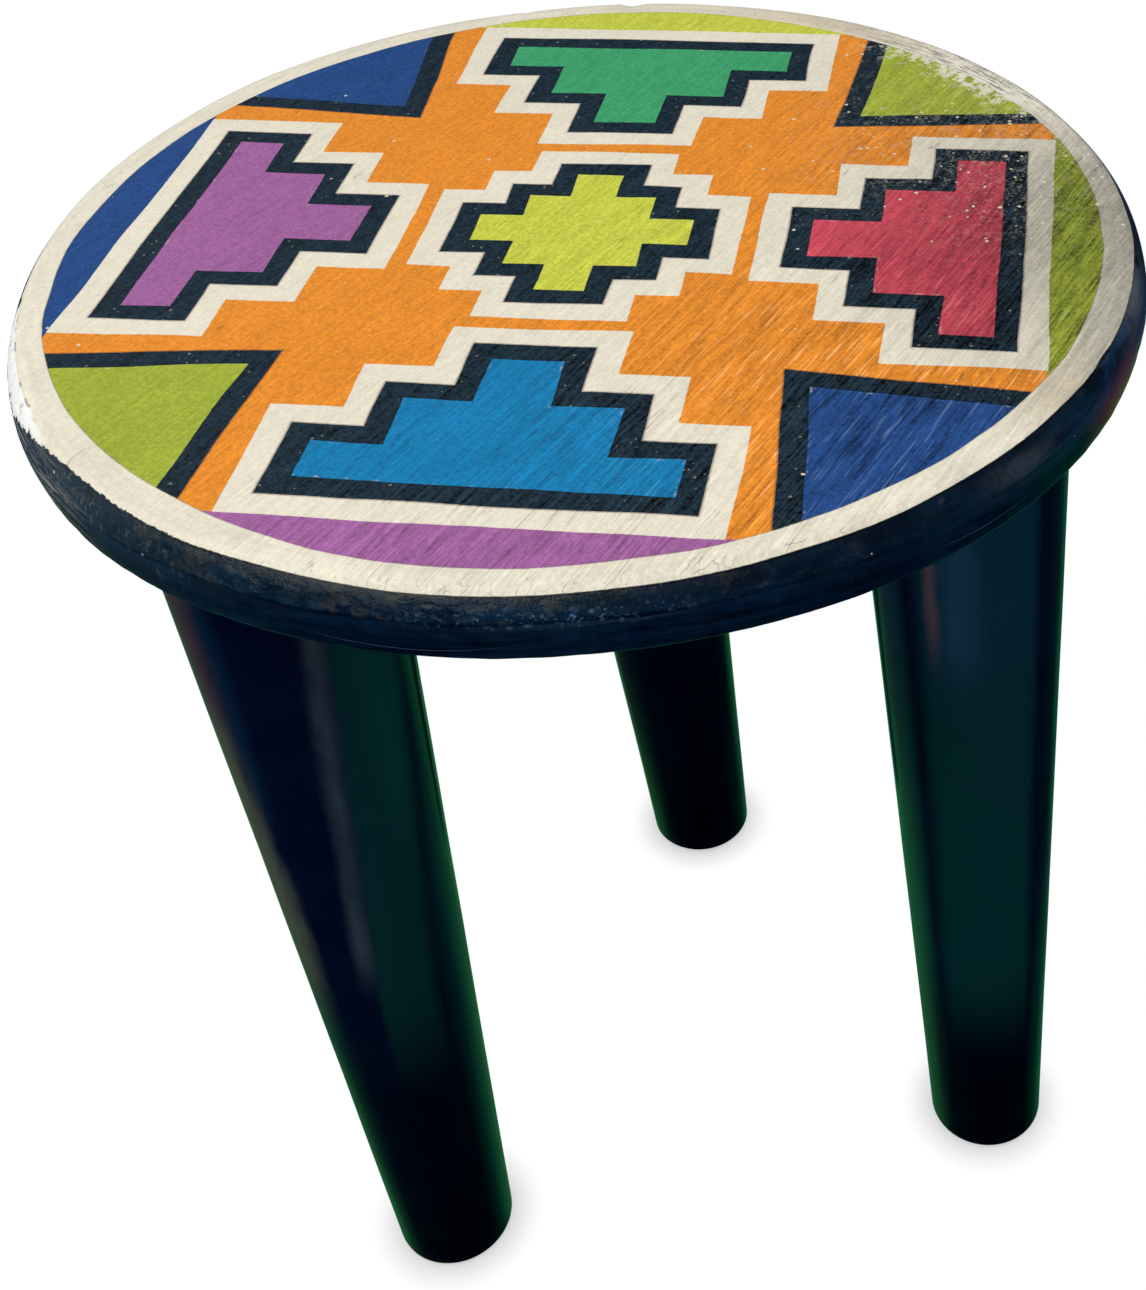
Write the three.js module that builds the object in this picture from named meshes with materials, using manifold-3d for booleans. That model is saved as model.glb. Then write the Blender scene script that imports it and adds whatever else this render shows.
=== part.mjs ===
// A round wooden stool on three splayed legs, in millimetres, +Z up.
// The origin is on the floor under the middle of the seat, and the back leg's mortise lies on +Y.
// The seat is three boards with dowelled edge joints. Each leg ends in a round tenon that stands in a
// blind mortise in the seat's underside, spread there by a hidden wedge.

import * as THREE from 'three';
import { mergeVertices } from 'three/addons/utils/BufferGeometryUtils.js';
import Module from 'manifold-3d';

const wasm = await Module();
wasm.setup();

// Seat
const stoolHeight = 430;
const seatThickness = 20;
const seatRadius = 173.6; // at the widest line of the rim
const rimUnderInset = 0.4; // how far the rim draws in towards the underside
const rimUnderRounding = 2.5;
const wornEdgeDepth = 8; // from the top down to where the worn edge of the rim starts
const wornEdgeInset = 0.6; // how far the rim has drawn in where the worn edge starts
const wornEdgeLean = 3; // how far the worn edge leans in before it turns over
const wornEdgeTurn = 4.5; // from there to the flat of the top
const grainAngle = 55.5; // degrees from +X to the grain of the boards

// Boards: the seams run along the grain, one on each side of the middle of the seat
const leftBoardWidth = 61.6; // from the rim to the left seam
const rightSeamOffset = 59; // from the middle of the seat to the right seam

// Dowels in the edge joints of the boards
const dowelDiameter = 8;
const dowelLength = 36;
const dowelChamfer = 1;
const dowelFromRim = 70; // along a seam, to the nearest dowel
const dowelsPerSeam = 3;

// Legs
const legTopDiameter = 70; // at the seat's underside
const legFootDiameter = 49;
const footRounding = 3;
const shoulderRounding = 1;

// The rim to each leg's centre, at the underside of the seat
const rimToFrontLeftLeg = 49.9;
const rimToRightLeg = 53.8;
const rimToBackLeg = 61.4;

// How much further out than that each foot stands on the floor
const frontLeftSplay = 12.9;
const rightSplay = 25.9;
const backSplay = 21.3;

// Wedged tenons
const tenonDiameter = 34;
const tenonChamfer = 1;
const woodOverMortise = 6; // left between a mortise and the top of the seat
const kerfWidth = 1.6; // the saw cut before the wedge spreads it
const kerfPastWedge = 1.5; // how much deeper the kerf is than the wedge
const wedgeLength = 11;
const wedgeThickness = 3.6; // at its thick end
const wedgeThinEnd = 1;
const wedgeSetback = 2.5; // from the round of the tenon, at each end of the wedge

// Fits
const seatGap = 0.3; // between a shoulder and the seat, and between two boards
const glueGap = 0.3; // round a tenon, a dowel or a wedge

// Facets round the turned pieces
const seatSegments = 108;
const legSegments = 56;
const dowelSegments = 20;
const arcPoints = 4;
const rimPoints = 6;

const seatBottom = stoolHeight - seatThickness;
const leftSeam = seatRadius - leftBoardWidth; // across the grain from the middle of the seat
const rightSeam = -rightSeamOffset;
const legHeight = seatBottom - seatGap; // up to the shoulder
const mortiseEnd = stoolHeight - woodOverMortise;
const tenonEnd = mortiseEnd - glueGap;
const wedgeWidth = tenonDiameter - 2 * wedgeSetback;

// Angles in degrees from +X
const legPlaces = [
  {
    name: 'front_left',
    mortiseAngle: -141.3,
    rimToMortise: rimToFrontLeftLeg,
    footAngle: -142.3,
    splay: frontLeftSplay,
  },
  {
    name: 'right',
    mortiseAngle: -22.7,
    rimToMortise: rimToRightLeg,
    footAngle: -23.5,
    splay: rightSplay,
  },
  {
    name: 'back',
    mortiseAngle: 90,
    rimToMortise: rimToBackLeg,
    footAngle: 83.2,
    splay: backSplay,
  },
];

const finishes = {
  seatPaint: new THREE.MeshStandardMaterial({ color: 0xe28f35, roughness: 0.5, metalness: 0 }),
  blackPaint: new THREE.MeshStandardMaterial({ color: 0x0b1620, roughness: 0.2, metalness: 0 }),
  bareWood: new THREE.MeshStandardMaterial({ color: 0xc9a26b, roughness: 0.8, metalness: 0 }),
};

/** Turns a profile of (radius, height) points about the Z axis. */
function turned(points, segments) {
  return new THREE.LatheGeometry(points, segments).rotateX(Math.PI / 2);
}

/** A closed geometry as a solid that can be joined and cut. */
function toSolid(geometry) {
  const bare = geometry.clone();
  bare.deleteAttribute('normal');
  bare.deleteAttribute('uv');
  const merged = mergeVertices(bare, 1e-4);
  return new wasm.Manifold(
    new wasm.Mesh({
      numProp: 3,
      vertProperties: new Float32Array(merged.attributes.position.array),
      triVerts: new Uint32Array(merged.index.array),
    }),
  );
}

/** A solid back as a geometry. */
function toGeometry(solid) {
  const { vertProperties, triVerts } = solid.getMesh();
  const geometry = new THREE.BufferGeometry();
  geometry.setAttribute('position', new THREE.BufferAttribute(new Float32Array(vertProperties), 3));
  geometry.setIndex(new THREE.BufferAttribute(new Uint32Array(triVerts), 1));
  geometry.computeVertexNormals();
  return geometry;
}

/** A named mesh with its finish. */
function piece(name, geometry, finish) {
  const mesh = new THREE.Mesh(geometry, finish);
  mesh.name = name;
  return mesh;
}

/** A point on the floor plan, from its distance to the middle and its angle in degrees. */
function onPlan(radius, degrees) {
  const angle = THREE.MathUtils.degToRad(degrees);
  return new THREE.Vector3(radius * Math.cos(angle), radius * Math.sin(angle), 0);
}

/** A leg's foot on the floor and how far it leans per millimetre of height. */
function standing({ mortiseAngle, rimToMortise, footAngle, splay }) {
  const mortiseRadius = seatRadius - rimToMortise;
  const foot = onPlan(mortiseRadius + splay, footAngle);
  const lean = onPlan(mortiseRadius, mortiseAngle).sub(foot).divideScalar(seatBottom);
  return { foot, lean };
}

/** Leans a geometry that was made upright over the foot, and keeps its level faces level. */
function leaned(geometry, lean) {
  const shear = new THREE.Matrix4().set(1, 0, lean.x, 0, 0, 1, lean.y, 0, 0, 0, 1, 0, 0, 0, 0, 1);
  return geometry.applyMatrix4(shear);
}

/** The seat's round blank, its underside at z = 0: a bulging rim under a broad, worn top edge. */
function seatBlank() {
  const underEdge = seatRadius - rimUnderInset;
  const wornEdge = seatRadius - wornEdgeInset;
  const wornStart = seatThickness - wornEdgeDepth;
  const turnOver = wornEdge - wornEdgeLean;
  const bulge = 2 * seatRadius - (underEdge + wornEdge) / 2;
  const under = new THREE.QuadraticBezierCurve(
    new THREE.Vector2(underEdge - rimUnderRounding, 0),
    new THREE.Vector2(underEdge, 0),
    new THREE.Vector2(underEdge, rimUnderRounding),
  );
  const side = new THREE.QuadraticBezierCurve(
    under.v2,
    new THREE.Vector2(bulge, (rimUnderRounding + wornStart) / 2),
    new THREE.Vector2(wornEdge, wornStart),
  );
  const top = new THREE.QuadraticBezierCurve(
    side.v2,
    new THREE.Vector2(turnOver, seatThickness),
    new THREE.Vector2(turnOver - wornEdgeTurn, seatThickness),
  );
  const outline = [
    new THREE.Vector2(0, 0),
    ...under.getPoints(arcPoints),
    ...side.getPoints(rimPoints).slice(1),
    ...top.getPoints(rimPoints).slice(1),
    new THREE.Vector2(0, seatThickness),
  ];
  return toSolid(turned(outline, seatSegments));
}

/** A straight strip of the seat's height, between two lines across the grain. */
function strip(from, to) {
  const length = 3 * seatRadius;
  const box = new THREE.BoxGeometry(length, to - from, 2 * seatThickness);
  return toSolid(box.translate(0, (from + to) / 2, seatThickness / 2));
}

/** A round bar with chamfered ends, centred on the origin and lying across the grain. */
function dowelBar(diameter, length, chamfer) {
  const radius = diameter / 2;
  const half = length / 2;
  const outline = [
    new THREE.Vector2(0, -half),
    new THREE.Vector2(radius - chamfer, -half),
    new THREE.Vector2(radius, chamfer - half),
    new THREE.Vector2(radius, half - chamfer),
    new THREE.Vector2(radius - chamfer, half),
    new THREE.Vector2(0, half),
  ];
  return turned(outline, dowelSegments).rotateX(Math.PI / 2);
}

/** The middles of the dowels in one seam, evenly spaced, in the seat's own frame. */
function dowelPlaces(seam) {
  const outermost = Math.sqrt(seatRadius ** 2 - seam ** 2) - dowelFromRim;
  return Array.from({ length: dowelsPerSeam }, (_, i) => {
    const along = outermost * ((2 * i) / (dowelsPerSeam - 1) - 1);
    return new THREE.Vector3(along, seam, seatThickness / 2);
  });
}

/** The hole that a dowel fills, half in each board. */
function dowelBore(place) {
  const bore = dowelBar(dowelDiameter + 2 * glueGap, dowelLength + 2 * glueGap, dowelChamfer);
  return toSolid(bore.translate(place.x, place.y, place.z));
}

/** A leg made upright: rounded foot, straight taper, level shoulder and round tenon. */
function legBlank() {
  const foot = legFootDiameter / 2;
  const top = legTopDiameter / 2;
  const tenon = tenonDiameter / 2;
  const footCorner = new THREE.QuadraticBezierCurve(
    new THREE.Vector2(foot - footRounding, 0),
    new THREE.Vector2(foot, 0),
    new THREE.Vector2(foot, footRounding),
  );
  const outline = [
    new THREE.Vector2(0, 0),
    ...footCorner.getPoints(arcPoints),
    new THREE.Vector2(top, legHeight - shoulderRounding),
    new THREE.Vector2(top - shoulderRounding, legHeight),
    new THREE.Vector2(tenon, legHeight),
    new THREE.Vector2(tenon, tenonEnd - tenonChamfer),
    new THREE.Vector2(tenon - tenonChamfer, tenonEnd),
    new THREE.Vector2(0, tenonEnd),
  ];
  return turned(outline, legSegments);
}

/** The hole for a tenon, made upright over the foot and open at the seat's underside. */
function mortiseBlank() {
  const radius = tenonDiameter / 2 + glueGap;
  const outline = [
    new THREE.Vector2(0, legHeight),
    new THREE.Vector2(radius, legHeight),
    new THREE.Vector2(radius, mortiseEnd),
    new THREE.Vector2(0, mortiseEnd),
  ];
  return turned(outline, legSegments);
}

/** A wedge-shaped prism across the grain. It hangs down from the end of the tenon. */
function taperedPrism(thickEnd, thinEnd, depth, width) {
  const section = new THREE.Shape([
    new THREE.Vector2(-thickEnd / 2, 0),
    new THREE.Vector2(-thinEnd / 2, -depth),
    new THREE.Vector2(thinEnd / 2, -depth),
    new THREE.Vector2(thickEnd / 2, 0),
  ]);
  return new THREE.ExtrudeGeometry(section, { depth: width, bevelEnabled: false })
    .translate(0, 0, -width / 2)
    .rotateX(Math.PI / 2)
    .rotateZ(THREE.MathUtils.degToRad(grainAngle))
    .translate(0, 0, tenonEnd);
}

/** The saw kerf in a tenon as the driven wedge has spread it, open at the end and both sides. */
function kerf() {
  const slope = (wedgeThickness - wedgeThinEnd) / wedgeLength;
  const fit = 2 * glueGap;
  const spread = Math.max(wedgeThinEnd + fit - slope * kerfPastWedge, kerfWidth);
  return taperedPrism(wedgeThickness + fit, spread, wedgeLength + kerfPastWedge, 2 * tenonDiameter);
}

const stool = new THREE.Group();

// The seat stands in its own frame: X along the grain, Y across it, Z up from the underside.
const seat = new THREE.Group();
seat.position.z = seatBottom;
seat.rotation.z = THREE.MathUtils.degToRad(grainAngle);
seat.updateMatrix();
const intoSeat = seat.matrix.clone().invert();
stool.add(seat);

let blank = seatBlank();
for (const seam of [leftSeam, rightSeam]) {
  blank = blank.subtract(strip(seam - seatGap / 2, seam + seatGap / 2));
  for (const place of dowelPlaces(seam)) {
    blank = blank.subtract(dowelBore(place));
  }
}
for (const place of legPlaces) {
  const { foot, lean } = standing(place);
  const hole = leaned(mortiseBlank(), lean).translate(foot.x, foot.y, 0).applyMatrix4(intoSeat);
  blank = blank.subtract(toSolid(hole));
}

const beyond = 2 * seatRadius;
const boards = {
  seat_board_left: [leftSeam, beyond],
  seat_board_middle: [rightSeam, leftSeam],
  seat_board_right: [-beyond, rightSeam],
};
for (const [name, [from, to]] of Object.entries(boards)) {
  const board = blank.intersect(strip(from, to));
  seat.add(piece(name, toGeometry(board), finishes.seatPaint));
}

for (const [side, seam] of [['left', leftSeam], ['right', rightSeam]]) {
  dowelPlaces(seam).forEach((place, i) => {
    const bar = dowelBar(dowelDiameter, dowelLength, dowelChamfer);
    const dowel = piece(`${side}_seam_dowel_${i + 1}`, bar, finishes.bareWood);
    dowel.position.copy(place);
    seat.add(dowel);
  });
}

for (const place of legPlaces) {
  const { foot, lean } = standing(place);
  const cut = toSolid(leaned(legBlank(), lean)).subtract(toSolid(leaned(kerf(), lean)));
  const leg = piece(`leg_${place.name}`, toGeometry(cut), finishes.blackPaint);
  leg.position.copy(foot);
  const taper = taperedPrism(wedgeThickness, wedgeThinEnd, wedgeLength, wedgeWidth);
  const wedge = piece(`wedge_${place.name}`, leaned(taper, lean), finishes.bareWood);
  wedge.position.copy(foot);
  stool.add(leg, wedge);
}

export default stool;
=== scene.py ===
"""The looks of a hand-made round stool: a painted seat of three glued boards on three splayed, turned legs.

The seat's boards get a fine skin with a worn, knife-cut rim, and the paint on top is drawn by distances in
millimetres, so that its lines stay sharp at any size. The legs are turned and leaned by one Geometry Nodes
tree. Every place and size that the seat and legs share with the construction is read from the frame.
"""

import logging
import math
from dataclasses import dataclass, field
from enum import Enum
from functools import reduce
from typing import Iterable, NamedTuple, Optional, Union

import bmesh
import bpy
import numpy as np
from mathutils import Euler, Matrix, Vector, noise

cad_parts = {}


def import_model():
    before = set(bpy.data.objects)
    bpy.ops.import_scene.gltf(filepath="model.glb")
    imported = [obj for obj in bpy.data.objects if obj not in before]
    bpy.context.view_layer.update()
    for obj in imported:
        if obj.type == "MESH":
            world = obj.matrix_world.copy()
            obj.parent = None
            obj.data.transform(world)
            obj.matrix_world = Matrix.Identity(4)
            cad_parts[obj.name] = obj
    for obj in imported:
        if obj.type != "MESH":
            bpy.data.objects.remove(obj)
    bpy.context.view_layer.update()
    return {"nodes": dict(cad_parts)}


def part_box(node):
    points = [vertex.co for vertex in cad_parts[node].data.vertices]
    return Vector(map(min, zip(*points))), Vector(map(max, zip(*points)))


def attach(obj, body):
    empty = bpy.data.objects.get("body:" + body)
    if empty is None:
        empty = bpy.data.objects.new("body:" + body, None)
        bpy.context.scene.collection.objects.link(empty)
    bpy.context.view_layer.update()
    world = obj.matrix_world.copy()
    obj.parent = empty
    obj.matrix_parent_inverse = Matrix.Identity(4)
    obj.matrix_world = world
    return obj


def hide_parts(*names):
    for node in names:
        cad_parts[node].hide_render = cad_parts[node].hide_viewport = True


MM = 0.001

# how far the painter's hand moves an edge of the design and how soft the edge is, in millimetres
BORDER_SWELL = 1.7
LINE_SWELL = 1.2
FILL_SWELL = 1.5
RING_SWELL = 1.4
EDGE_SOFTNESS = 0.13

log = logging.getLogger("stool")

Socket = bpy.types.NodeSocket
Value = Union[Socket, float, int, tuple, Vector]
Pair = tuple[float, float]
Triple = tuple[float, float, float]
Color = tuple[float, float, float, float]


def srgb(red: int, green: int, blue: int) -> Color:
    """Turns a colour as a paint chart gives it into the linear colour that a shader takes.

    Args:
        red: Red from 0 to 255.
        green: Green from 0 to 255.
        blue: Blue from 0 to 255.

    Returns:
        The linear colour, with an alpha of one.
    """

    def linear(level: int) -> float:
        """One channel, by the sRGB curve."""
        share = level / 255
        return share / 12.92 if share <= 0.04045 else ((share + 0.055) / 1.055) ** 2.4

    return (linear(red), linear(green), linear(blue), 1.0)


class Paint(Enum):
    """The colours on the painter's palette."""

    CREAM = srgb(234, 227, 206)
    ORANGE = srgb(236, 143, 38)
    BLACK = srgb(28, 46, 58)
    BLUE = srgb(6, 124, 178)
    PURPLE = srgb(163, 99, 158)
    OLIVE = srgb(162, 176, 54)
    LIME = srgb(204, 209, 70)
    EMERALD = srgb(62, 165, 108)
    CRIMSON = srgb(204, 72, 88)
    NAVY = srgb(32, 74, 136)


class Sketch:
    """Adds nodes to one tree and joins them, so that a tree reads like a sum."""

    def __init__(self, tree: bpy.types.NodeTree) -> None:
        """Keeps the tree that the nodes go into."""
        self.tree = tree

    def node(self, kind: str, **settings: object) -> bpy.types.Node:
        """Adds a node.

        Args:
            kind: The node's type name.
            settings: Properties to set on it.

        Returns:
            The node.
        """
        node = self.tree.nodes.new(kind)
        for name, value in settings.items():
            setattr(node, name, value)
        return node

    def feed(self, socket: Socket, value: Value) -> None:
        """Gives an input its value: a link where the value is a socket, and otherwise a constant.

        Args:
            socket: The input.
            value: The value.
        """
        if isinstance(value, Socket):
            self.tree.links.new(value, socket)
        else:
            socket.default_value = value

    def run(self, kind: str, inputs: dict[Union[str, int], Value], out: Union[str, int] = 0,
            **settings: object) -> Socket:
        """Adds a node, feeds it and gives back one of its outputs.

        Args:
            kind: The node's type name.
            inputs: Values by the input's name or number.
            out: The output's name or number.
            settings: Properties to set on the node first.

        Returns:
            The output socket.
        """
        node = self.node(kind, **settings)
        for name, value in inputs.items():
            self.feed(node.inputs[name], value)
        return node.outputs[out]

    def maths(self, operation: str, *values: Value) -> Socket:
        """Puts values through a Math node."""
        return self.run("ShaderNodeMath", dict(enumerate(values)), operation=operation)

    def total(self, *values: Value) -> Value:
        """Adds up any number of values."""
        return reduce(lambda result, value: self.maths("ADD", result, value), values)

    def product(self, *values: Value) -> Value:
        """Multiplies any number of values."""
        return reduce(lambda result, value: self.maths("MULTIPLY", result, value), values)

    def minus(self, value: Value, taken: Value) -> Socket:
        """Takes one value from another."""
        return self.maths("SUBTRACT", value, taken)

    def rest(self, share: Value) -> Socket:
        """Gives what a share leaves of one."""
        return self.minus(1.0, share)

    def larger(self, first: Value, second: Value) -> Socket:
        """Gives the larger of two values."""
        return self.maths("MAXIMUM", first, second)

    def smaller(self, first: Value, second: Value) -> Socket:
        """Gives the smaller of two values."""
        return self.maths("MINIMUM", first, second)

    def absolute(self, value: Value) -> Socket:
        """Drops a value's sign."""
        return self.maths("ABSOLUTE", value)

    def vector(self, operation: str, *values: Value, out: int = 0) -> Socket:
        """Puts values through a Vector Math node."""
        return self.run("ShaderNodeVectorMath", dict(enumerate(values)), out, operation=operation)

    def length(self, vector: Value) -> Socket:
        """Measures a vector."""
        return self.vector("LENGTH", vector, out=1)

    def distance(self, first: Value, second: Value) -> Socket:
        """Measures how far two places are apart."""
        return self.vector("DISTANCE", first, second, out=1)

    def scaled(self, vector: Value, factor: Value) -> Socket:
        """Multiplies a vector by a number."""
        return self.run("ShaderNodeVectorMath", {0: vector, "Scale": factor}, operation="SCALE")

    def split(self, vector: Socket) -> tuple[Socket, Socket, Socket]:
        """Takes a vector apart.

        Args:
            vector: The vector.

        Returns:
            Its X, Y and Z.
        """
        node = self.node("ShaderNodeSeparateXYZ")
        self.feed(node.inputs[0], vector)
        return node.outputs[0], node.outputs[1], node.outputs[2]

    def joined(self, x: Value, y: Value, z: Value = 0.0) -> Socket:
        """Puts X, Y and Z together into a vector."""
        return self.run("ShaderNodeCombineXYZ", {0: x, 1: y, 2: z})

    def turned(self, vector: Value, degrees: float) -> Socket:
        """Turns a pattern's coordinates about Z with a Mapping node."""
        return self.run("ShaderNodeMapping", {"Vector": vector, "Rotation": (0, 0, math.radians(degrees))})

    def stretch(self, vector: Value, scale: Triple) -> Socket:
        """Scales a pattern's coordinates with a Mapping node."""
        return self.run("ShaderNodeMapping", {"Vector": vector, "Scale": scale})

    def ramp(self, value: Value, low: Value, high: Value, to_low: Value = 0.0, to_high: Value = 1.0,
             smooth: bool = True) -> Socket:
        """Maps a value from one range to another, held at both ends.

        Args:
            value: The value.
            low: Where the range starts.
            high: Where it ends.
            to_low: The result at the start.
            to_high: The result at the end.
            smooth: Whether both ends are eased.

        Returns:
            The mapped value.
        """
        kind = "SMOOTHSTEP" if smooth else "LINEAR"
        inputs = {0: value, 1: low, 2: high, 3: to_low, 4: to_high}
        return self.run("ShaderNodeMapRange", inputs, interpolation_type=kind)

    def hump(self, value: Value, middle: Value, reach: Value) -> Socket:
        """Gives one in the middle of a range and falls smoothly to nothing at its reach on both sides."""
        away = self.absolute(self.minus(value, middle))
        return self.ramp(away, 0.0, reach, 1.0, 0.0)

    def grain(self, vector: Value, size: float, detail: float = 2.0, rough: float = 0.5,
              seed: float = 0.0) -> Socket:
        """Adds a noise whose patches are about size units across, from 0 to 1."""
        inputs = {"Vector": vector, "W": seed, "Scale": 1 / size, "Detail": detail, "Roughness": rough}
        return self.run("ShaderNodeTexNoise", inputs, noise_dimensions="4D")

    def swing(self, vector: Value, size: float, detail: float = 2.0, rough: float = 0.5,
              seed: float = 0.0) -> Socket:
        """Adds a noise that swings round zero, from -0.5 to 0.5."""
        return self.minus(self.grain(vector, size, detail, rough, seed), 0.5)

    def mix(self, share: Value, under: Value, over: Value, mode: str = "MIX") -> Socket:
        """Lays one colour over another.

        Args:
            share: How much of the upper colour shows.
            under: The lower colour.
            over: The upper colour.
            mode: How the two are blended.

        Returns:
            The colour.
        """
        node = self.node("ShaderNodeMix", data_type="RGBA", blend_type=mode, clamp_factor=True)
        self.feed(node.inputs["Factor"], share)
        self.feed(node.inputs[6], under)
        self.feed(node.inputs[7], over)
        return node.outputs[2]

    def dimmed(self, color: Value, level: Value) -> Socket:
        """Multiplies all of a colour's channels by one level."""
        return self.mix(1.0, color, self.joined(level, level, level), "MULTIPLY")

    def mixed(self, share: Value, low: Value, high: Value) -> Socket:
        """Blends between two numbers."""
        inputs = {0: share, 2: low, 3: high}
        return self.run("ShaderNodeMix", inputs, 0, data_type="FLOAT", clamp_factor=True)

    def use(self, group: bpy.types.NodeTree, **inputs: Value) -> bpy.types.Node:
        """Places a shared effect.

        Args:
            group: The effect.
            inputs: Values by the socket's name, in small letters with underscores.

        Returns:
            The effect's node.
        """
        node = self.node("ShaderNodeGroup", node_tree=group)
        for name, value in inputs.items():
            self.feed(node.inputs[name.replace("_", " ").title()], value)
        return node


def effect(name: str, inputs: dict[str, Value],
           outputs: dict[str, str]) -> tuple[Sketch, dict[str, Socket], bpy.types.Node]:
    """Starts a shader node group.

    Args:
        name: The effect's name.
        inputs: Each input's name, with a default number, three numbers for a vector or four for a colour.
        outputs: Each output's name, with Float, Vector or Color.

    Returns:
        The sketch for its nodes, its inputs by name, and the node that takes its outputs.
    """
    tree = bpy.data.node_groups.new(name, "ShaderNodeTree")
    for title, default in inputs.items():
        count = len(default) if isinstance(default, tuple) else 1
        kind = {1: "Float", 3: "Vector", 4: "Color"}[count]
        socket = tree.interface.new_socket(title, in_out="INPUT", socket_type=f"NodeSocket{kind}")
        socket.default_value = default
    for title, kind in outputs.items():
        tree.interface.new_socket(title, in_out="OUTPUT", socket_type=f"NodeSocket{kind}")
    sketch = Sketch(tree)
    start = sketch.node("NodeGroupInput")
    end = sketch.node("NodeGroupOutput")
    return sketch, {title: start.outputs[title] for title in inputs}, end


class Effects:
    """The shared shader effects. Every coordinate and size in them is in millimetres."""

    def __init__(self) -> None:
        """Builds each effect once."""
        self.wobble = self._wobble()
        self.wood_grain = self._wood_grain()
        self.chips = self._chips()
        self.motif = self._motif()
        self.steps = self._steps()
        self.black = self._black()

    @staticmethod
    def _wobble() -> bpy.types.NodeTree:
        """Moves the coordinates as an unsteady hand moves a brush.

        Returns:
            The effect's tree.
        """
        names = {"Vector": (0.0, 0.0, 0.0), "Drift": 1.3, "Shake": 0.22, "Tremble": 0.07}
        s, given, end = effect("Hand Wobble", names, {"Vector": "Vector"})
        moved = given["Vector"]
        for amount, size, seed in (("Drift", 90.0, 3.0), ("Shake", 21.0, 5.0), ("Tremble", 2.6, 7.0)):
            inputs = {"Vector": given["Vector"], "W": seed, "Scale": 1 / size, "Detail": 1.0}
            colored = s.run("ShaderNodeTexNoise", inputs, "Color", noise_dimensions="4D")
            offset = s.vector("SUBTRACT", colored, (0.5, 0.5, 0.5))
            moved = s.vector("ADD", moved, s.scaled(offset, s.product(given[amount], 3.2)))
        s.feed(end.inputs["Vector"], moved)
        return s.tree

    @staticmethod
    def _wood_grain() -> bpy.types.NodeTree:
        """Streaks and short open cracks along X, as planed wood shows them through thin paint.

        Returns:
            The effect's tree.
        """
        names = {"Vector": (0.0, 0.0, 0.0), "Crack Share": 0.5}
        outputs = {"Streaks": "Float", "Cracks": "Float", "Height": "Float"}
        s, given, end = effect("Wood Grain", names, outputs)
        bent = s.grain(given["Vector"], 70.0, 1.0, seed=1.0)
        along, across, up = s.split(given["Vector"])
        across = s.total(across, s.product(bent, 6.0))
        lined = s.joined(along, across, up)
        broad = s.grain(s.stretch(lined, (0.15, 1.0, 1.0)), 3.8, 3.0, 0.62, seed=2.0)
        fine = s.grain(s.stretch(lined, (0.08, 1.0, 1.0)), 0.9, 2.0, 0.6, seed=3.0)
        streaks = s.total(s.product(broad, 0.5), s.product(fine, 0.5))
        s.feed(end.inputs["Streaks"], s.ramp(streaks, 0.32, 0.68, smooth=False))
        hair = s.grain(s.stretch(lined, (0.03, 1.0, 1.0)), 2.3, 1.0, 0.4, seed=4.0)
        line = s.ramp(s.absolute(s.minus(hair, 0.5)), 0.0, 0.009, 1.0, 0.0)
        place = s.grain(s.stretch(lined, (0.5, 1.0, 1.0)), 6.5, 1.0, seed=5.0)
        limit = s.minus(0.8, s.product(given["Crack Share"], 0.5))
        cracks = s.product(line, s.ramp(place, limit, s.total(limit, 0.08)))
        s.feed(end.inputs["Cracks"], cracks)
        s.feed(end.inputs["Height"], s.minus(s.product(fine, 0.5), s.product(cracks, 0.9)))
        return s.tree

    @staticmethod
    def _chips() -> bpy.types.NodeTree:
        """Small chips and specks where the paint came off, more of them where the share is higher.

        Returns:
            The effect's tree.
        """
        names = {"Vector": (0.0, 0.0, 0.0), "Spacing": 6.0, "Size": 0.5, "Share": 0.1}
        s, given, end = effect("Paint Chips", names, {"Mask": "Float"})
        ragged = s.grain(given["Vector"], 0.9, 1.0, seed=11.0)
        node = s.node("ShaderNodeTexVoronoi", voronoi_dimensions="3D", feature="F1")
        s.feed(node.inputs["Vector"], given["Vector"])
        s.feed(node.inputs["Scale"], s.maths("DIVIDE", 1.0, given["Spacing"]))
        chance, own_size, _ = s.split(node.outputs["Color"])
        present = s.maths("LESS_THAN", chance, given["Share"])
        reach = s.product(given["Size"], s.total(0.35, s.product(own_size, 1.1)), s.total(0.4, ragged))
        away = s.product(node.outputs["Distance"], given["Spacing"])
        chip = s.ramp(away, s.product(reach, 0.75), reach, 1.0, 0.0)
        s.feed(end.inputs["Mask"], s.product(present, chip))
        return s.tree

    @staticmethod
    def _motif() -> bpy.types.NodeTree:
        """Paints one motif from the distance to its outline: a pale border, a black line and a filling.

        Returns:
            The effect's tree.
        """
        names = {
            "Under": (0.0, 0.0, 0.0, 1.0),
            "Distance": 0.0,
            "Border": 8.0,
            "Line": 7.0,
            "Border Color": (0.0, 0.0, 0.0, 1.0),
            "Line Color": (0.0, 0.0, 0.0, 1.0),
            "Fill Color": (0.0, 0.0, 0.0, 1.0),
            "Hand": 0.5,
            "Rubbed": 0.0,
            "Inked": 0.0,
        }
        outputs = {"Color": "Color", "Inked": "Float"}
        s, given, end = effect("Painted Motif", names, outputs)
        hand = s.minus(given["Hand"], 0.5)

        def inside(limit: Value) -> Socket:
            """One where the distance is under the limit."""
            gap = s.minus(given["Distance"], limit)
            return s.ramp(gap, -EDGE_SOFTNESS, EDGE_SOFTNESS, 1.0, 0.0, smooth=False)

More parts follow.
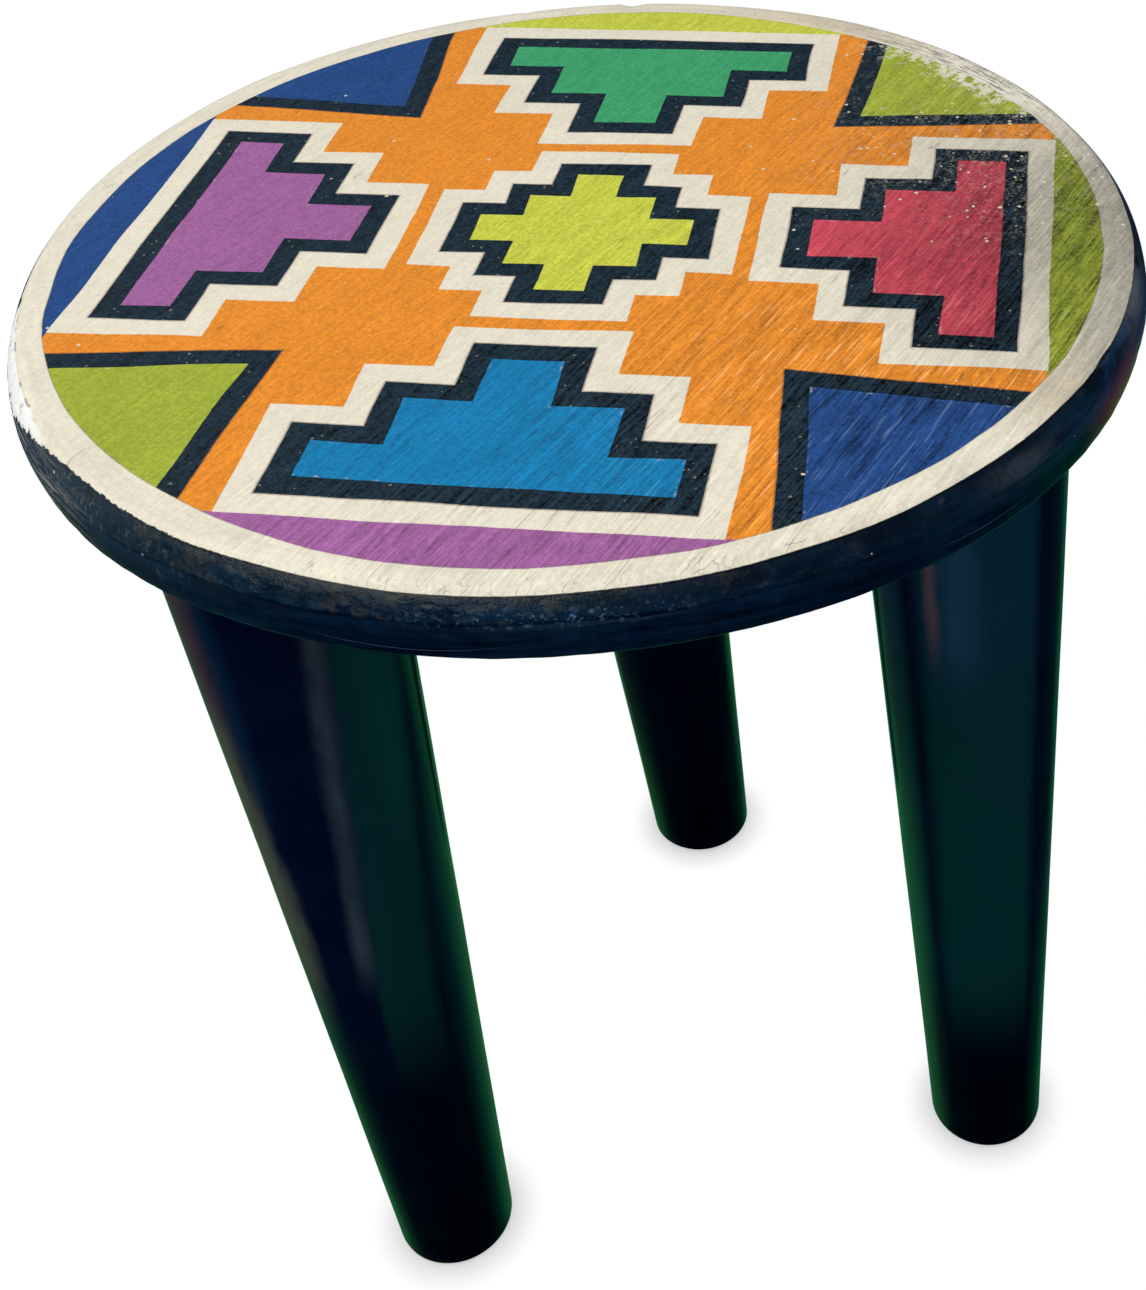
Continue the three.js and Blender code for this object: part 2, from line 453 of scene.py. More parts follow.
        bordered = inside(s.total(given["Border"], s.product(hand, BORDER_SWELL)))
        bordered = s.product(bordered, s.maths("GREATER_THAN", given["Border"], 0.0))
        line_edge = s.product(hand, -LINE_SWELL)
        lined = inside(line_edge)
        fill_edge = s.product(hand, FILL_SWELL)
        filled = inside(s.minus(fill_edge, given["Line"]))
        fringe = s.product(s.hump(given["Distance"], s.total(0.2, line_edge), 0.45), 0.5)
        base = s.mix(bordered, given["Under"], given["Border Color"])
        base = s.mix(fringe, base, srgb(112, 58, 40))
        base = s.mix(lined, base, given["Line Color"])
        past_fill = s.minus(s.total(given["Distance"], given["Line"]), fill_edge)
        base = s.mix(filled, base, given["Fill Color"])
        base = s.mix(s.product(s.hump(past_fill, 0.25, 0.4), 0.4), base, srgb(20, 26, 32))
        rubbed = s.product(s.hump(past_fill, -0.5, 0.5), given["Rubbed"])
        s.feed(end.inputs["Color"], s.mix(rubbed, base, srgb(205, 190, 176)))
        ink = s.product(lined, s.rest(filled))
        kept = s.product(given["Inked"], s.rest(s.larger(bordered, lined)))
        s.feed(end.inputs["Inked"], s.larger(kept, ink))
        return s.tree

    @staticmethod
    def _steps() -> bpy.types.NodeTree:
        """The distance to a pile of three blocks, each further out and wider than the one before.

        Returns:
            The effect's tree.
        """
        names = {"Out": 0.0, "Across": 0.0, "First": 64.0, "Rise": 21.0, "Half Width": 18.0, "Tread": 20.0,
                 "Base": 136.0}
        s, given, end = effect("Stepped Outline", names, {"Distance": "Float"})
        blocks = []
        for step in (0.0, 1.0, 2.0):
            front = s.total(given["First"], s.product(given["Rise"], step))
            side = s.total(given["Half Width"], s.product(given["Tread"], step))
            past = s.minus(s.absolute(given["Across"]), side)
            blocks.append(s.larger(past, s.minus(front, given["Out"])))
        past_base = s.minus(given["Out"], given["Base"])
        s.feed(end.inputs["Distance"], s.larger(reduce(s.smaller, blocks), past_base))
        return s.tree

    @staticmethod
    def _black() -> bpy.types.NodeTree:
        """Black gloss paint with a blue-green cast, dull grey and brown where it is scuffed.

        Returns:
            The effect's tree.
        """
        names = {"Vector": (0.0, 0.0, 0.0), "Scuffs": 0.0, "Dark": srgb(4, 9, 22), "Cast": srgb(6, 26, 34)}
        outputs = {"Color": "Color", "Roughness": "Float", "Height": "Float"}
        s, given, end = effect("Black Gloss Paint", names, outputs)
        cloud = s.grain(given["Vector"], 38.0, 2.0, seed=21.0)
        brushed = s.grain(s.stretch(given["Vector"], (1.0, 1.0, 0.12)), 2.2, 3.0, 0.6, seed=22.0)
        tone = s.ramp(s.total(s.product(cloud, 0.7), s.product(brushed, 0.3)), 0.35, 0.65)
        color = s.mix(tone, given["Dark"], given["Cast"])
        along = s.stretch(given["Vector"], (0.55, 0.55, 1.0))
        crust = s.grain(along, 2.0, 5.0, 0.72, seed=23.0)
        soft = s.grain(along, 9.0, 2.0, seed=25.0)
        crumbled = s.ramp(s.total(s.product(crust, 0.65), s.product(soft, 0.35)), 0.5, 0.56)
        worn = s.product(crumbled, given["Scuffs"])
        hue = s.grain(given["Vector"], 11.0, 1.0, seed=24.0)
        overlay = s.mix(s.ramp(hue, 0.42, 0.58), srgb(30, 56, 68), srgb(58, 59, 48))
        s.feed(end.inputs["Color"], s.mix(worn, color, overlay))
        smooth = s.ramp(cloud, 0.3, 0.7, 0.17, 0.24)
        s.feed(end.inputs["Roughness"], s.total(smooth, s.product(worn, 0.1)))
        height = s.total(s.product(brushed, 0.2), s.product(crust, given["Scuffs"], 5.5))
        s.feed(end.inputs["Height"], height)
        return s.tree


def fresh_material(name: str) -> tuple[bpy.types.Material, Sketch, bpy.types.Node]:
    """Makes a material with one Principled BSDF.

    Args:
        name: The material's name.

    Returns:
        The material, the sketch for its nodes, and the shader.
    """
    material = bpy.data.materials.new(name)
    material.use_nodes = True
    tree = material.node_tree
    tree.nodes.clear()
    sketch = Sketch(tree)
    shader = sketch.node("ShaderNodeBsdfPrincipled")
    end = sketch.node("ShaderNodeOutputMaterial")
    sketch.feed(end.inputs["Surface"], shader.outputs["BSDF"])
    return material, sketch, shader


def in_millimetres(sketch: Sketch) -> Socket:
    """Gives the place on the piece in millimetres, in the frame that all pieces share."""
    place = sketch.node("ShaderNodeTexCoord")
    return sketch.scaled(place.outputs["Object"], 1 / MM)


def raise_surface(sketch: Sketch, shader: bpy.types.Node, height: Socket, depth: float) -> None:
    """Feeds a height in millimetres to the shader's normal.

    Args:
        sketch: The material's sketch.
        shader: The shader whose normal it bends.
        height: The height, where one stands for the depth.
        depth: How deep a height of one is, in millimetres.
    """
    inputs = {"Strength": 1.0, "Distance": depth * MM, "Height": height}
    sketch.feed(shader.inputs["Normal"], sketch.run("ShaderNodeBump", inputs))


@dataclass(frozen=True)
class SeatLayout:
    """The painted design on the seat, in millimetres: four stepped blocks round a stepped middle."""

    axis: float = -13.0
    ring_inside: float = 160.0
    line: float = 7.3
    border: float = 8.3
    block_first: float = 64.0
    block_rise: float = 21.0
    block_half: float = 18.0
    block_tread: float = 20.0
    block_base: float = 136.0
    corner_apex: float = 101.0
    corner_half_angle: float = 40.0
    middle_arms: tuple[Pair, ...] = ((42.0, 15.0), (28.0, 28.0), (15.0, 42.0))
    blocks: tuple[Paint, ...] = (Paint.CRIMSON, Paint.EMERALD, Paint.PURPLE, Paint.BLUE)
    slivers: tuple[Paint, ...] = (Paint.OLIVE, Paint.LIME, Paint.NAVY, Paint.PURPLE)
    corners: tuple[Paint, Paint] = (Paint.OLIVE, Paint.NAVY)
    middle: Paint = Paint.LIME


class Band(NamedTuple):
    """A stretch round the seat: its middle and how far it reaches both ways, in radians from +X."""

    middle: float
    reach: float


class Patch(NamedTuple):
    """A round place of wear on the top: its middle, where it starts to fade and where it ends."""

    middle: Triple
    near: float
    far: float


@dataclass(frozen=True)
class SeatSpot:
    """The place that is being shaded on the seat, with the measures that its finish goes by."""

    place: Socket
    x: Socket
    y: Socket
    z: Socket
    flat: Socket
    reach: Socket
    turn: Socket

    @classmethod
    def read(cls, s: Sketch) -> "SeatSpot":
        """Reads the place in millimetres, its distance from the seat's axis and its angle about it.

        Args:
            s: The material's sketch.

        Returns:
            The place with its measures.
        """
        place = in_millimetres(s)
        x, y, z = s.split(place)
        flat = s.joined(x, y)
        return cls(place, x, y, z, flat, s.length(flat), s.maths("ARCTAN2", y, x))

    def within(self, s: Sketch, patch: Patch, *wander: Value, most: float = 1.0) -> Socket:
        """Says how far the place is within a patch.

        Args:
            s: The material's sketch.
            patch: The patch.
            wander: Distances in millimetres that make its outline uneven.
            most: The result in its middle.

        Returns:
            The share, which falls to nothing at the patch's end.
        """
        away = s.total(s.distance(self.flat, patch.middle), *wander)
        return s.ramp(away, patch.near, patch.far, most, 0.0)


@dataclass(frozen=True)
class SeatEdge:
    """How the cream gives way to the black on the worn edge, as masks and distances in millimetres."""

    past: Socket
    over: Socket
    white: Socket
    hacked: Socket
    ragged: Socket
    slow: Socket
    blackened: Socket


@dataclass(frozen=True)
class SeatFinish:
    """Hand-laid satin paint on top, black gloss on the rim and brushed black underneath."""

    effects: Effects
    layout: SeatLayout
    grain_angle: float
    seat_bottom: float
    worn_start: float
    cream_end: Pair
    worn_glare_patch: Patch = Patch((138.0, 34.0, 0.0), 12.0, 92.0)
    shaded_patch: Patch = Patch((180.0, -44.0, 0.0), 12.0, 125.0)
    cracked_patch: Patch = Patch((-10.0, -150.0, 0.0), 20.0, 85.0)
    scraped_patch: Patch = Patch((80.0, -98.0, 0.0), 25.0, 95.0)
    scraped_light: Color = (0.36, 0.42, 0.3, 1.0)
    # painted shade on the cream ring: its tint here, and two lines down the bands where it falls
    ring_shade_tint: Color = (0.85, 0.79, 0.74, 1.0)
    flaked_glare_band: Band = Band(0.56, 0.5)
    ring_shade_bands: tuple[Band, Band] = (Band(0.95, 0.6), Band(-0.7, 0.2))
    white_highlight_band: Band = Band(-2.84, 0.33)
    nibbled_band: Band = Band(0.42, 0.4)  # counted from the middle of the white one
    far_right_band: Band = Band(0.75, 0.75)
    back_band: Band = Band(0.5 * math.pi, 0.95)
    hacked_middle: float = -1.95
    grey_band: Band = Band(-2.53, 0.5)
    peeled_band: Band = Band(-2.68, 0.32)
    sheen_band: Band = Band(-0.6, 0.75)
    folded_band: Band = Band(-0.5, 0.4)
    teal_band: Band = Band(-0.74, 0.22)
    brown_band: Band = Band(-0.53, 0.2)
    dull_band: Band = Band(-0.16, 0.3)
    glint_band: Band = Band(-1.65, 0.28)
    scratch_highlights: tuple[tuple[Band, float], ...] = ((Band(-1.86, 0.2), 3.4), (Band(-0.95, 0.14), 5.2))
    scratch_sag: float = 95.0
    satin: float = 0.2
    gloss: float = 0.5
    dull: float = 0.05
    varnish_ior: float = 1.45
    relief: float = 0.2

    def by_side(self, s: Sketch, u: Socket, v: Socket, paints: tuple[Paint, ...]) -> Socket:
        """Picks a paint by the quarter of the seat, counted from +U towards +V.

        Args:
            s: The material's sketch.
            u: The coordinate along the design's axis.
            v: The coordinate across it.
            paints: The four paints.

        Returns:
            The colour.
        """
        east, north, west, south = (paint.value for paint in paints)
        along = s.mix(s.maths("GREATER_THAN", u, 0.0), west, east)
        across = s.mix(s.maths("GREATER_THAN", v, 0.0), south, north)
        nearer = s.maths("GREATER_THAN", s.absolute(u), s.absolute(v))
        return s.mix(nearer, across, along)

    def corner(self, s: Sketch, wide_u: Socket, wide_v: Socket) -> Socket:
        """Measures the distance to the wedge that points inwards between two blocks.

        Args:
            s: The material's sketch.
            wide_u: The distance from the middle along the design's axis.
            wide_v: The distance across it.

        Returns:
            The distance, under zero inside the wedge.
        """
        half = math.radians(self.layout.corner_half_angle)
        diagonal = s.product(s.total(wide_u, wide_v), math.sqrt(0.5))
        aside = s.product(s.minus(wide_u, wide_v), math.sqrt(0.5))
        inward = s.product(s.minus(diagonal, self.layout.corner_apex), math.sin(half))
        return s.minus(s.product(s.absolute(aside), math.cos(half)), inward)

    def middle(self, s: Sketch, wide_u: Socket, wide_v: Socket) -> Socket:
        """Measures the distance to the stepped motif in the middle.

        Args:
            s: The material's sketch.
            wide_u: The distance from the middle along the design's axis.
            wide_v: The distance across it.

        Returns:
            The distance, under zero inside the motif.
        """
        blocks = [s.larger(s.minus(wide_u, long_arm), s.minus(wide_v, short_arm))
                  for long_arm, short_arm in self.layout.middle_arms]
        return reduce(s.smaller, blocks)

    def design(self, s: Sketch, place: Socket, hand: Socket) -> tuple[Socket, Socket]:
        """Paints the design from its ground up to the cream ring.

        Args:
            s: The material's sketch.
            place: The place in millimetres, moved by the painter's hand.
            hand: A noise from 0 to 1 that makes lines swell and thin.

        Returns:
            The colour, and a mask of the black lines.
        """
        plan = self.layout
        u, v, _ = s.split(s.turned(place, -plan.axis))
        wide_u, wide_v = s.absolute(u), s.absolute(v)
        out, across = s.larger(wide_u, wide_v), s.smaller(wide_u, wide_v)
        rubbed = s.product(s.ramp(s.grain(place, 5.0, 5.0, 0.7, seed=61.0), 0.55, 0.66), 0.7)
        shared = {"border_color": Paint.CREAM.value, "line_color": Paint.BLACK.value, "line": plan.line,
                  "hand": hand, "rubbed": rubbed}

        same_sign = s.maths("GREATER_THAN", s.product(u, v), 0.0)
        fill = s.mix(same_sign, plan.corners[1].value, plan.corners[0].value)
        motif = s.use(self.effects.motif, under=Paint.ORANGE.value, distance=self.corner(s, wide_u, wide_v),
                      border=0.0, fill_color=fill, inked=0.0, **shared)

        # the slivers between the blocks and the ring meet the blocks' borders without a gap
        swell = s.product(s.minus(hand, 0.5), BORDER_SWELL)
        flush = s.total(plan.block_base + plan.border - 0.15, swell)
        sliver = s.ramp(s.minus(out, flush), -EDGE_SOFTNESS, EDGE_SOFTNESS, smooth=False)
        color = s.mix(sliver, motif.outputs["Color"], self.by_side(s, u, v, plan.slivers))
        inked = s.product(motif.outputs["Inked"], s.rest(sliver))

        block = s.use(self.effects.steps, out=out, across=across, first=plan.block_first,
                      rise=plan.block_rise, half_width=plan.block_half, tread=plan.block_tread,
                      base=plan.block_base)
        motif = s.use(self.effects.motif, under=color, distance=block.outputs["Distance"],
                      border=plan.border, fill_color=self.by_side(s, u, v, plan.blocks), inked=inked,
                      **shared)
        motif = s.use(self.effects.motif, under=motif.outputs["Color"],
                      distance=self.middle(s, wide_u, wide_v), border=plan.border,
                      fill_color=plan.middle.value, inked=motif.outputs["Inked"], **shared)

        reach = s.length(s.joined(*s.split(place)[:2]))
        ring_edge = s.total(plan.ring_inside, s.product(s.minus(hand, 0.5), RING_SWELL))
        past = s.minus(reach, ring_edge)
        ringed = s.ramp(past, -EDGE_SOFTNESS, EDGE_SOFTNESS, smooth=False)
        color = s.mix(ringed, motif.outputs["Color"], Paint.CREAM.value)
        color = s.mix(s.product(s.hump(past, 0.0, 0.4), 0.35), color, srgb(96, 92, 74))
        return color, s.product(motif.outputs["Inked"], s.rest(ringed))

    def brushed(self, s: Sketch, spot: SeatSpot, color: Socket, grained: Socket, streaks: Socket,
                cloud: Socket, worn: Socket) -> Socket:
        """Varies the paint's tone along its brush strokes, most where it is dark or strong, and darkens the
        top's right side with painted shade.

        Args:
            s: The material's sketch.
            spot: The place on the seat.
            color: The design's colour.
            grained: The place, turned so that X runs along the grain.
            streaks: The wood's streaks, from 0 to 1.
            cloud: A broad noise about zero.
            worn: How worn the place is.

        Returns:
            The colour.
        """
        hsv = s.node("ShaderNodeSeparateColor", mode="HSV")
        s.feed(hsv.inputs["Color"], color)
        hue, saturation, value = hsv.outputs
        strong = s.ramp(saturation, 0.3, 0.6, 0.4, 1.0)
        dry = s.ramp(s.total(spot.x, s.product(spot.y, -0.9), s.product(cloud, 160.0)), -120.0, 190.0)
        streaks = s.product(s.minus(streaks, 0.5), s.ramp(dry, 0.0, 1.0, 0.06, 0.48), strong)
        mottle = s.swing(spot.place, 6.0, 4.0, 0.65, seed=38.0)
        rough_paint = s.product(s.ramp(value, 0.08, 0.3, 3.8, 1.1),
                                s.ramp(saturation, 0.25, 0.5, 0.45, 1.0))
        canvas = s.product(s.swing(spot.place, 1.2, 3.0, 0.7, seed=43.0), rough_paint)
        hairs = s.grain(s.stretch(grained, (0.05, 1.0, 1.0)), 0.7, 2.0, 0.6, seed=44.0)
        dark_hairs = s.product(s.minus(hairs, 0.5), rough_paint, s.ramp(dry, 0.0, 1.0, 0.5, 1.1))

        # at the front right the strokes are bold, and pale hairs are scraped through them
        scraped = s.product(spot.within(s, self.scraped_patch), s.ramp(hue, 0.85, 0.95, 1.0, 0.35))
        pale_hairs = s.product(s.ramp(hairs, 0.58, 0.67), scraped, strong,
                               s.ramp(value, 0.08, 0.6, 0.0, 0.6, smooth=False))
        bold = s.ramp(s.grain(s.stretch(grained, (0.12, 1.0, 1.0)), 2.6, 2.0, 0.5, seed=45.0), 0.5, 0.6)
        bold = s.product(bold, s.smaller(s.product(scraped, 2.0), 1.0), strong,
                         s.ramp(value, 0.25, 0.6, -0.32, -0.1))

        # painted shade: the top darkens towards its right side
        shade = spot.within(s, self.shaded_patch, s.product(cloud, 40.0), most=0.5)
        tone = s.total(1.0, streaks, canvas, dark_hairs, s.product(cloud, 0.12), s.product(mottle, 0.16),
                       s.product(shade, -1.0), s.product(worn, -0.12), bold)
        return s.mix(pale_hairs, s.dimmed(color, tone), self.scraped_light, "SCREEN")

    def rubbed(self, s: Sketch, spot: SeatSpot, color: Socket, inked: Socket,
               worn: Socket) -> tuple[Socket, Socket]:
        """Rubs the paint thin and lets specks come off it where it is worn; there the pale wash and the
        pale specks also stand in for a glare, as a painted highlight.

        Args:
            s: The material's sketch.
            spot: The place on the seat.
            color: The colour so far.
            inked: The mask of the black lines, which show the finest specks.
            worn: How worn the place is.

        Returns:
            The colour, and a mask of the larger specks.
        """
        thin = s.product(s.ramp(s.grain(spot.place, 2.2, 5.0, 0.75, seed=34.0), 0.5, 0.66), worn)
        color = s.mix(s.product(thin, 0.34), color, srgb(214, 204, 184))
        specks = s.use(self.effects.chips, vector=spot.place, spacing=2.7, size=0.62,
                       share=s.ramp(worn, 0.0, 1.0, 0.012, 0.4, smooth=False)).outputs["Mask"]
        moved = s.vector("ADD", spot.place, (40.0, 9.0, 3.0))
        overlay = s.use(self.effects.chips, vector=moved, spacing=1.3, size=0.4,
                     share=s.ramp(worn, 0.0, 1.0, 0.06, 0.34, smooth=False)).outputs["Mask"]
        color = s.mix(s.product(specks, 0.9), color, srgb(228, 216, 190))
        dusted = s.product(overlay, s.larger(inked, s.product(worn, 0.7)), 0.5)
        return s.mix(dusted, color, srgb(176, 164, 128)), specks

    def aged(self, s: Sketch, spot: SeatSpot, color: Socket,
             inked: Socket) -> tuple[Socket, Socket, Socket]:
        """Lets the wood's grain show through the design and wears it.

        Args:
            s: The material's sketch.
            spot: The place on the seat.
            color: The design's colour.
            inked: The mask of its black lines.

        Returns:
            The colour, the roughness and the height.
        """
        grained = s.turned(spot.place, -self.grain_angle)
        cloud = s.swing(spot.place, 42.0, 3.0, 0.6, seed=33.0)
        # the worn patch at the right: rubbed paint, whose pale wash and specks are partly a painted
        # highlight of glare
        worn = spot.within(s, self.worn_glare_patch, s.product(cloud, 80.0))
        cracked = s.product(spot.within(s, self.cracked_patch), 0.4)
        crack_share = s.total(0.22, s.product(s.grain(spot.place, 55.0, 1.0, seed=32.0), 0.35),
                              s.product(worn, 0.25), cracked)
        wood = s.use(self.effects.wood_grain, vector=grained, crack_share=crack_share)

        color = self.brushed(s, spot, color, grained, wood.outputs["Streaks"], cloud, worn)
        darkened = s.mix(0.7, color, srgb(40, 26, 24))
        color = s.mix(s.product(wood.outputs["Cracks"], 0.65), color, darkened)
        color, specks = self.rubbed(s, spot, color, inked, worn)
        color = self.shaded_flaked_ring(s, spot, color)

        roughness = s.total(s.ramp(cloud, -0.2, 0.2, 0.42, 0.52), s.product(specks, 0.2))
        dabs = s.grain(s.stretch(grained, (0.12, 1.0, 1.0)), 1.3, 3.0, 0.6, seed=37.0)
        height = s.total(s.product(wood.outputs["Height"], 0.5), s.product(dabs, 0.3),
                         s.product(inked, 0.3), s.product(specks, -0.5))
        return color, roughness, height

    @staticmethod
    def round_lines(s: Sketch, turn: Socket, across: Socket, size: float, seed: float) -> Socket:
        """Adds a noise drawn out round the seat, as brush strokes and wear run along its edge.

        Args:
            s: The material's sketch.
            turn: The angle about the seat's axis.
            across: The distance across the lines, in millimetres.
            size: About how wide a line is, in millimetres.
            seed: The noise's seed.

        Returns:
            The noise, from 0 to 1.
        """
        drawn_out = 15.0  # the radius of the circle that stands for the whole way round
        east = s.product(s.maths("COSINE", turn), drawn_out)
        north = s.product(s.maths("SINE", turn), drawn_out)
        return s.grain(s.joined(east, north, across), size, 3.0, 0.65, seed=seed)

    def shaded_flaked_ring(self, s: Sketch, spot: SeatSpot, color: Socket) -> Socket:
        """Paints shade onto the cream ring at the back right and the near right, and rubs and flakes the
        ring's far right, where the paint is pale, partly as a painted highlight of glare, and grey lines
        run along the edge.

        Args:
            s: The material's sketch.
            spot: The place on the seat.
            color: The colour so far.

        Returns:
            The colour.
        """
        inside = self.layout.ring_inside
        ring = s.ramp(spot.reach, inside - 1.0, inside + 2.0)
        # painted shade: the cream ring darkens and warms at the back right and the near right
        far, near = (s.hump(spot.turn, *band) for band in self.ring_shade_bands)
        ring_shade_share = s.total(far, s.product(near, 0.8))
        warm = s.mix(1.0, color, self.ring_shade_tint, "MULTIPLY")
        color = s.mix(s.product(ring_shade_share, ring), color, warm)
        # pale flakes on the ring's far right: worn paint, and partly a painted highlight of glare
        patch = s.product(s.hump(spot.turn, *self.flaked_glare_band), s.ramp(spot.reach, 143.0, 161.0))
        ragged = s.total(s.grain(spot.place, 3.4, 5.0, 0.75, seed=72.0), s.product(patch, 0.12))
        color = s.mix(s.product(patch, s.ramp(ragged, 0.59, 0.62), 0.9), color, srgb(242, 236, 220))
        lines = s.ramp(self.round_lines(s, spot.turn, spot.reach, 0.9, 71.0), 0.5, 0.56)
        color = s.mix(s.product(patch, ring, lines, 0.7), color, srgb(96, 94, 90))
        strokes = s.ramp(self.round_lines(s, spot.turn, spot.reach, 2.6, 73.0), 0.35, 0.65, 0.93, 1.04)
        return s.mix(ring, color, s.dimmed(color, strokes))

    def edge(self, s: Sketch, spot: SeatSpot) -> SeatEdge:
        """Finds where the cream ends on the worn edge: lower and ragged on the left, lower at the back.

        Args:
            s: The material's sketch.
            spot: The place on the seat.

        Returns:
            The edge's masks and distances.
        """
        # the white band on the left: the cream wraps lower there, under a painted highlight
        from_white = s.maths("WRAP", s.minus(spot.turn, self.white_highlight_band.middle), math.pi, -math.pi)
        white = s.hump(from_white, 0.0, self.white_highlight_band.reach)
        far_right = s.hump(spot.turn, *self.far_right_band)
        back = s.hump(spot.turn, *self.back_band)
        nibbled = s.hump(from_white, *self.nibbled_band)
        hacked = s.ramp(s.absolute(s.minus(spot.turn, self.hacked_middle)), 0.35, 1.0, 1.0, 0.12)
        ragged = s.swing(spot.place, 3.2, 5.0, 0.72, seed=35.0)
        slow = s.swing(spot.place, 42.0, 1.0, seed=36.0)

        end_reach, end_height = self.cream_end
        outwards, downwards = s.minus(spot.reach, end_reach), s.minus(end_height, spot.z)
        past = s.product(s.total(outwards, downwards), math.sqrt(0.5))
        fray = s.total(0.4, s.product(white, 12.0), s.product(far_right, 2.0), s.product(nibbled, 3.0))
        over = s.total(past, s.product(slow, 2.0), s.product(white, -8.0), s.product(back, -5.0),
                       s.product(ragged, fray))
        low_down = s.ramp(spot.z, self.seat_bottom + 3.0, self.seat_bottom + 3.6, 1.0, 0.0)
        blackened = s.larger(s.ramp(over, -0.12, 0.12, smooth=False), low_down)
        return SeatEdge(past, over, white, hacked, ragged, slow, blackened)

    @staticmethod
    def highlighted_wrap(s: Sketch, spot: SeatSpot, edge: SeatEdge, color: Socket) -> Socket:
        """Lays the cream that wraps over the worn edge on the left, painted near white there as a
        highlight, with its dashes and bruises.

        Args:
            s: The material's sketch.
            spot: The place on the seat.
            edge: Where the cream ends.
            color: The colour so far.

        Returns:
            The colour.
        """
        # painted highlight: the wrapped cream on the left is painted near white
        wrapped = s.ramp(s.product(s.ramp(edge.past, -0.6, 0.6), edge.white), 0.1, 0.5)
        color = s.mix(wrapped, color, srgb(250, 250, 245))
        broken = s.grain(s.stretch(spot.place, (1.0, 1.0, 0.1)), 4.0, 1.0, seed=39.0)
        dashes = s.product(s.hump(s.total(edge.past, s.product(edge.ragged, 2.0)), -0.3, 0.6),
                           s.ramp(edge.white, 0.2, 0.6), s.ramp(broken, 0.48, 0.53))
        bruised = s.product(s.ramp(edge.ragged, 0.06, 0.12), wrapped)
        marks = s.larger(s.product(dashes, 0.75), s.product(bruised, 0.55))
        return s.mix(marks, color, srgb(110, 114, 118))

    def marked_left(self, s: Sketch, spot: SeatSpot, color: Socket) -> Socket:
        """Puts grey wear, pale streaks, scrapes and flecks on the rim's left side.

        Args:
            s: The material's sketch.
            spot: The place on the seat.
            color: The rim's black.

        Returns:
            The colour.
        """
        low = self.seat_bottom
        grey = s.hump(spot.turn, *self.grey_band)
        color = s.mix(s.product(grey, 0.6), color, srgb(33, 50, 58))
        peeled = s.product(s.hump(spot.turn, *self.peeled_band), s.ramp(spot.z, low + 1.0, low + 4.0),
                           s.ramp(spot.z, self.worn_start, self.worn_start + 3.0, 1.0, 0.2))
        drawn = s.ramp(self.round_lines(s, spot.turn, s.product(spot.z, 1.5), 1.2, 85.0), 0.5, 0.55)
        color = s.mix(s.product(peeled, drawn), color, srgb(150, 144, 126))
        upright = s.grain(s.stretch(spot.place, (1.0, 1.0, 0.16)), 1.1, 3.0, 0.6, seed=81.0)
        scraped = s.product(s.ramp(upright, 0.56, 0.66), grey,
                            s.ramp(spot.z, low + 3.0, self.worn_start), 0.35)
        color = s.mix(scraped, color, srgb(120, 122, 112))
        flecks = s.use(self.effects.chips, vector=spot.place, spacing=3.4, size=0.5,
                       share=s.total(0.02, s.product(grey, 0.16)))
        above = s.ramp(spot.z, low + 3.0, low + 4.0)
        return s.mix(s.product(flecks.outputs["Mask"], above, 0.75), color, srgb(206, 198, 166))

    def marked_right(self, s: Sketch, spot: SeatSpot, color: Socket) -> Socket:
        """Puts a sheen, folds, teal, a brown patch and dull black on the rim's right side.

        Args:
            s: The material's sketch.
            spot: The place on the seat.
            color: The rim's colour so far.

        Returns:
            The colour.
        """
        turn, z = spot.turn, spot.z
        across = s.total(spot.reach, z)
        sheen = s.product(s.ramp(self.round_lines(s, turn, across, 2.4, 82.0), 0.42, 0.6),
                          s.hump(turn, *self.sheen_band), s.hump(z, self.worn_start + 3.0, 6.0))
        color = s.mix(s.product(sheen, 0.6), color, srgb(12, 46, 70))
        fold = s.ramp(self.round_lines(s, turn, across, 4.0, 86.0), 0.45, 0.55, 0.12, 1.7)
        color = s.mix(s.hump(turn, *self.folded_band), color, s.dimmed(color, fold))
        low_down = s.ramp(z, self.worn_start + 2.0, self.worn_start - 2.0)
        color = s.mix(s.product(s.hump(turn, *self.teal_band), low_down, 0.8), color, srgb(0, 42, 40))
        brown = s.product(s.hump(turn, *self.brown_band), s.hump(z, self.seat_bottom + 6.0, 10.0), 0.9)
        color = s.mix(brown, color, srgb(112, 46, 38))
        return s.mix(s.product(s.hump(turn, *self.dull_band), 0.85), color, srgb(0, 4, 22))

    def marked_front(self, s: Sketch, spot: SeatSpot, color: Socket) -> Socket:
        """Puts pale glints, painted as highlights, and two long faint scratch marks, which sag, on the
        rim's front; the two lines are also a painted highlight near the lower edge.

        Args:
            s: The material's sketch.
            spot: The place on the seat.
            color: The rim's colour so far.

        Returns:
            The colour.
        """
        turn, z = spot.turn, spot.z
        ridges = s.grain(s.stretch(spot.place, (1.0, 1.0, 1.2)), 1.35, 3.0, 0.6, seed=84.0)
        glints = s.product(s.ramp(ridges, 0.55, 0.62), s.hump(turn, *self.glint_band),
                           s.hump(z, self.worn_start + 1.2, 3.6), 0.6)
        color = s.mix(glints, color, srgb(88, 120, 148))
        # two faint sagging lines: partly scratch marks, partly a painted highlight near the lower edge
        drawn = []
        for band, lowest in self.scratch_highlights:
            aside = s.minus(turn, band.middle)
            sag = s.product(aside, aside, self.scratch_sag)
            line = s.hump(s.minus(z, sag), self.seat_bottom + lowest, 0.22)
            drawn.append(s.product(line, s.hump(aside, 0.0, band.reach)))
        return s.mix(s.product(s.larger(*drawn), 0.5), color, srgb(76, 110, 138))

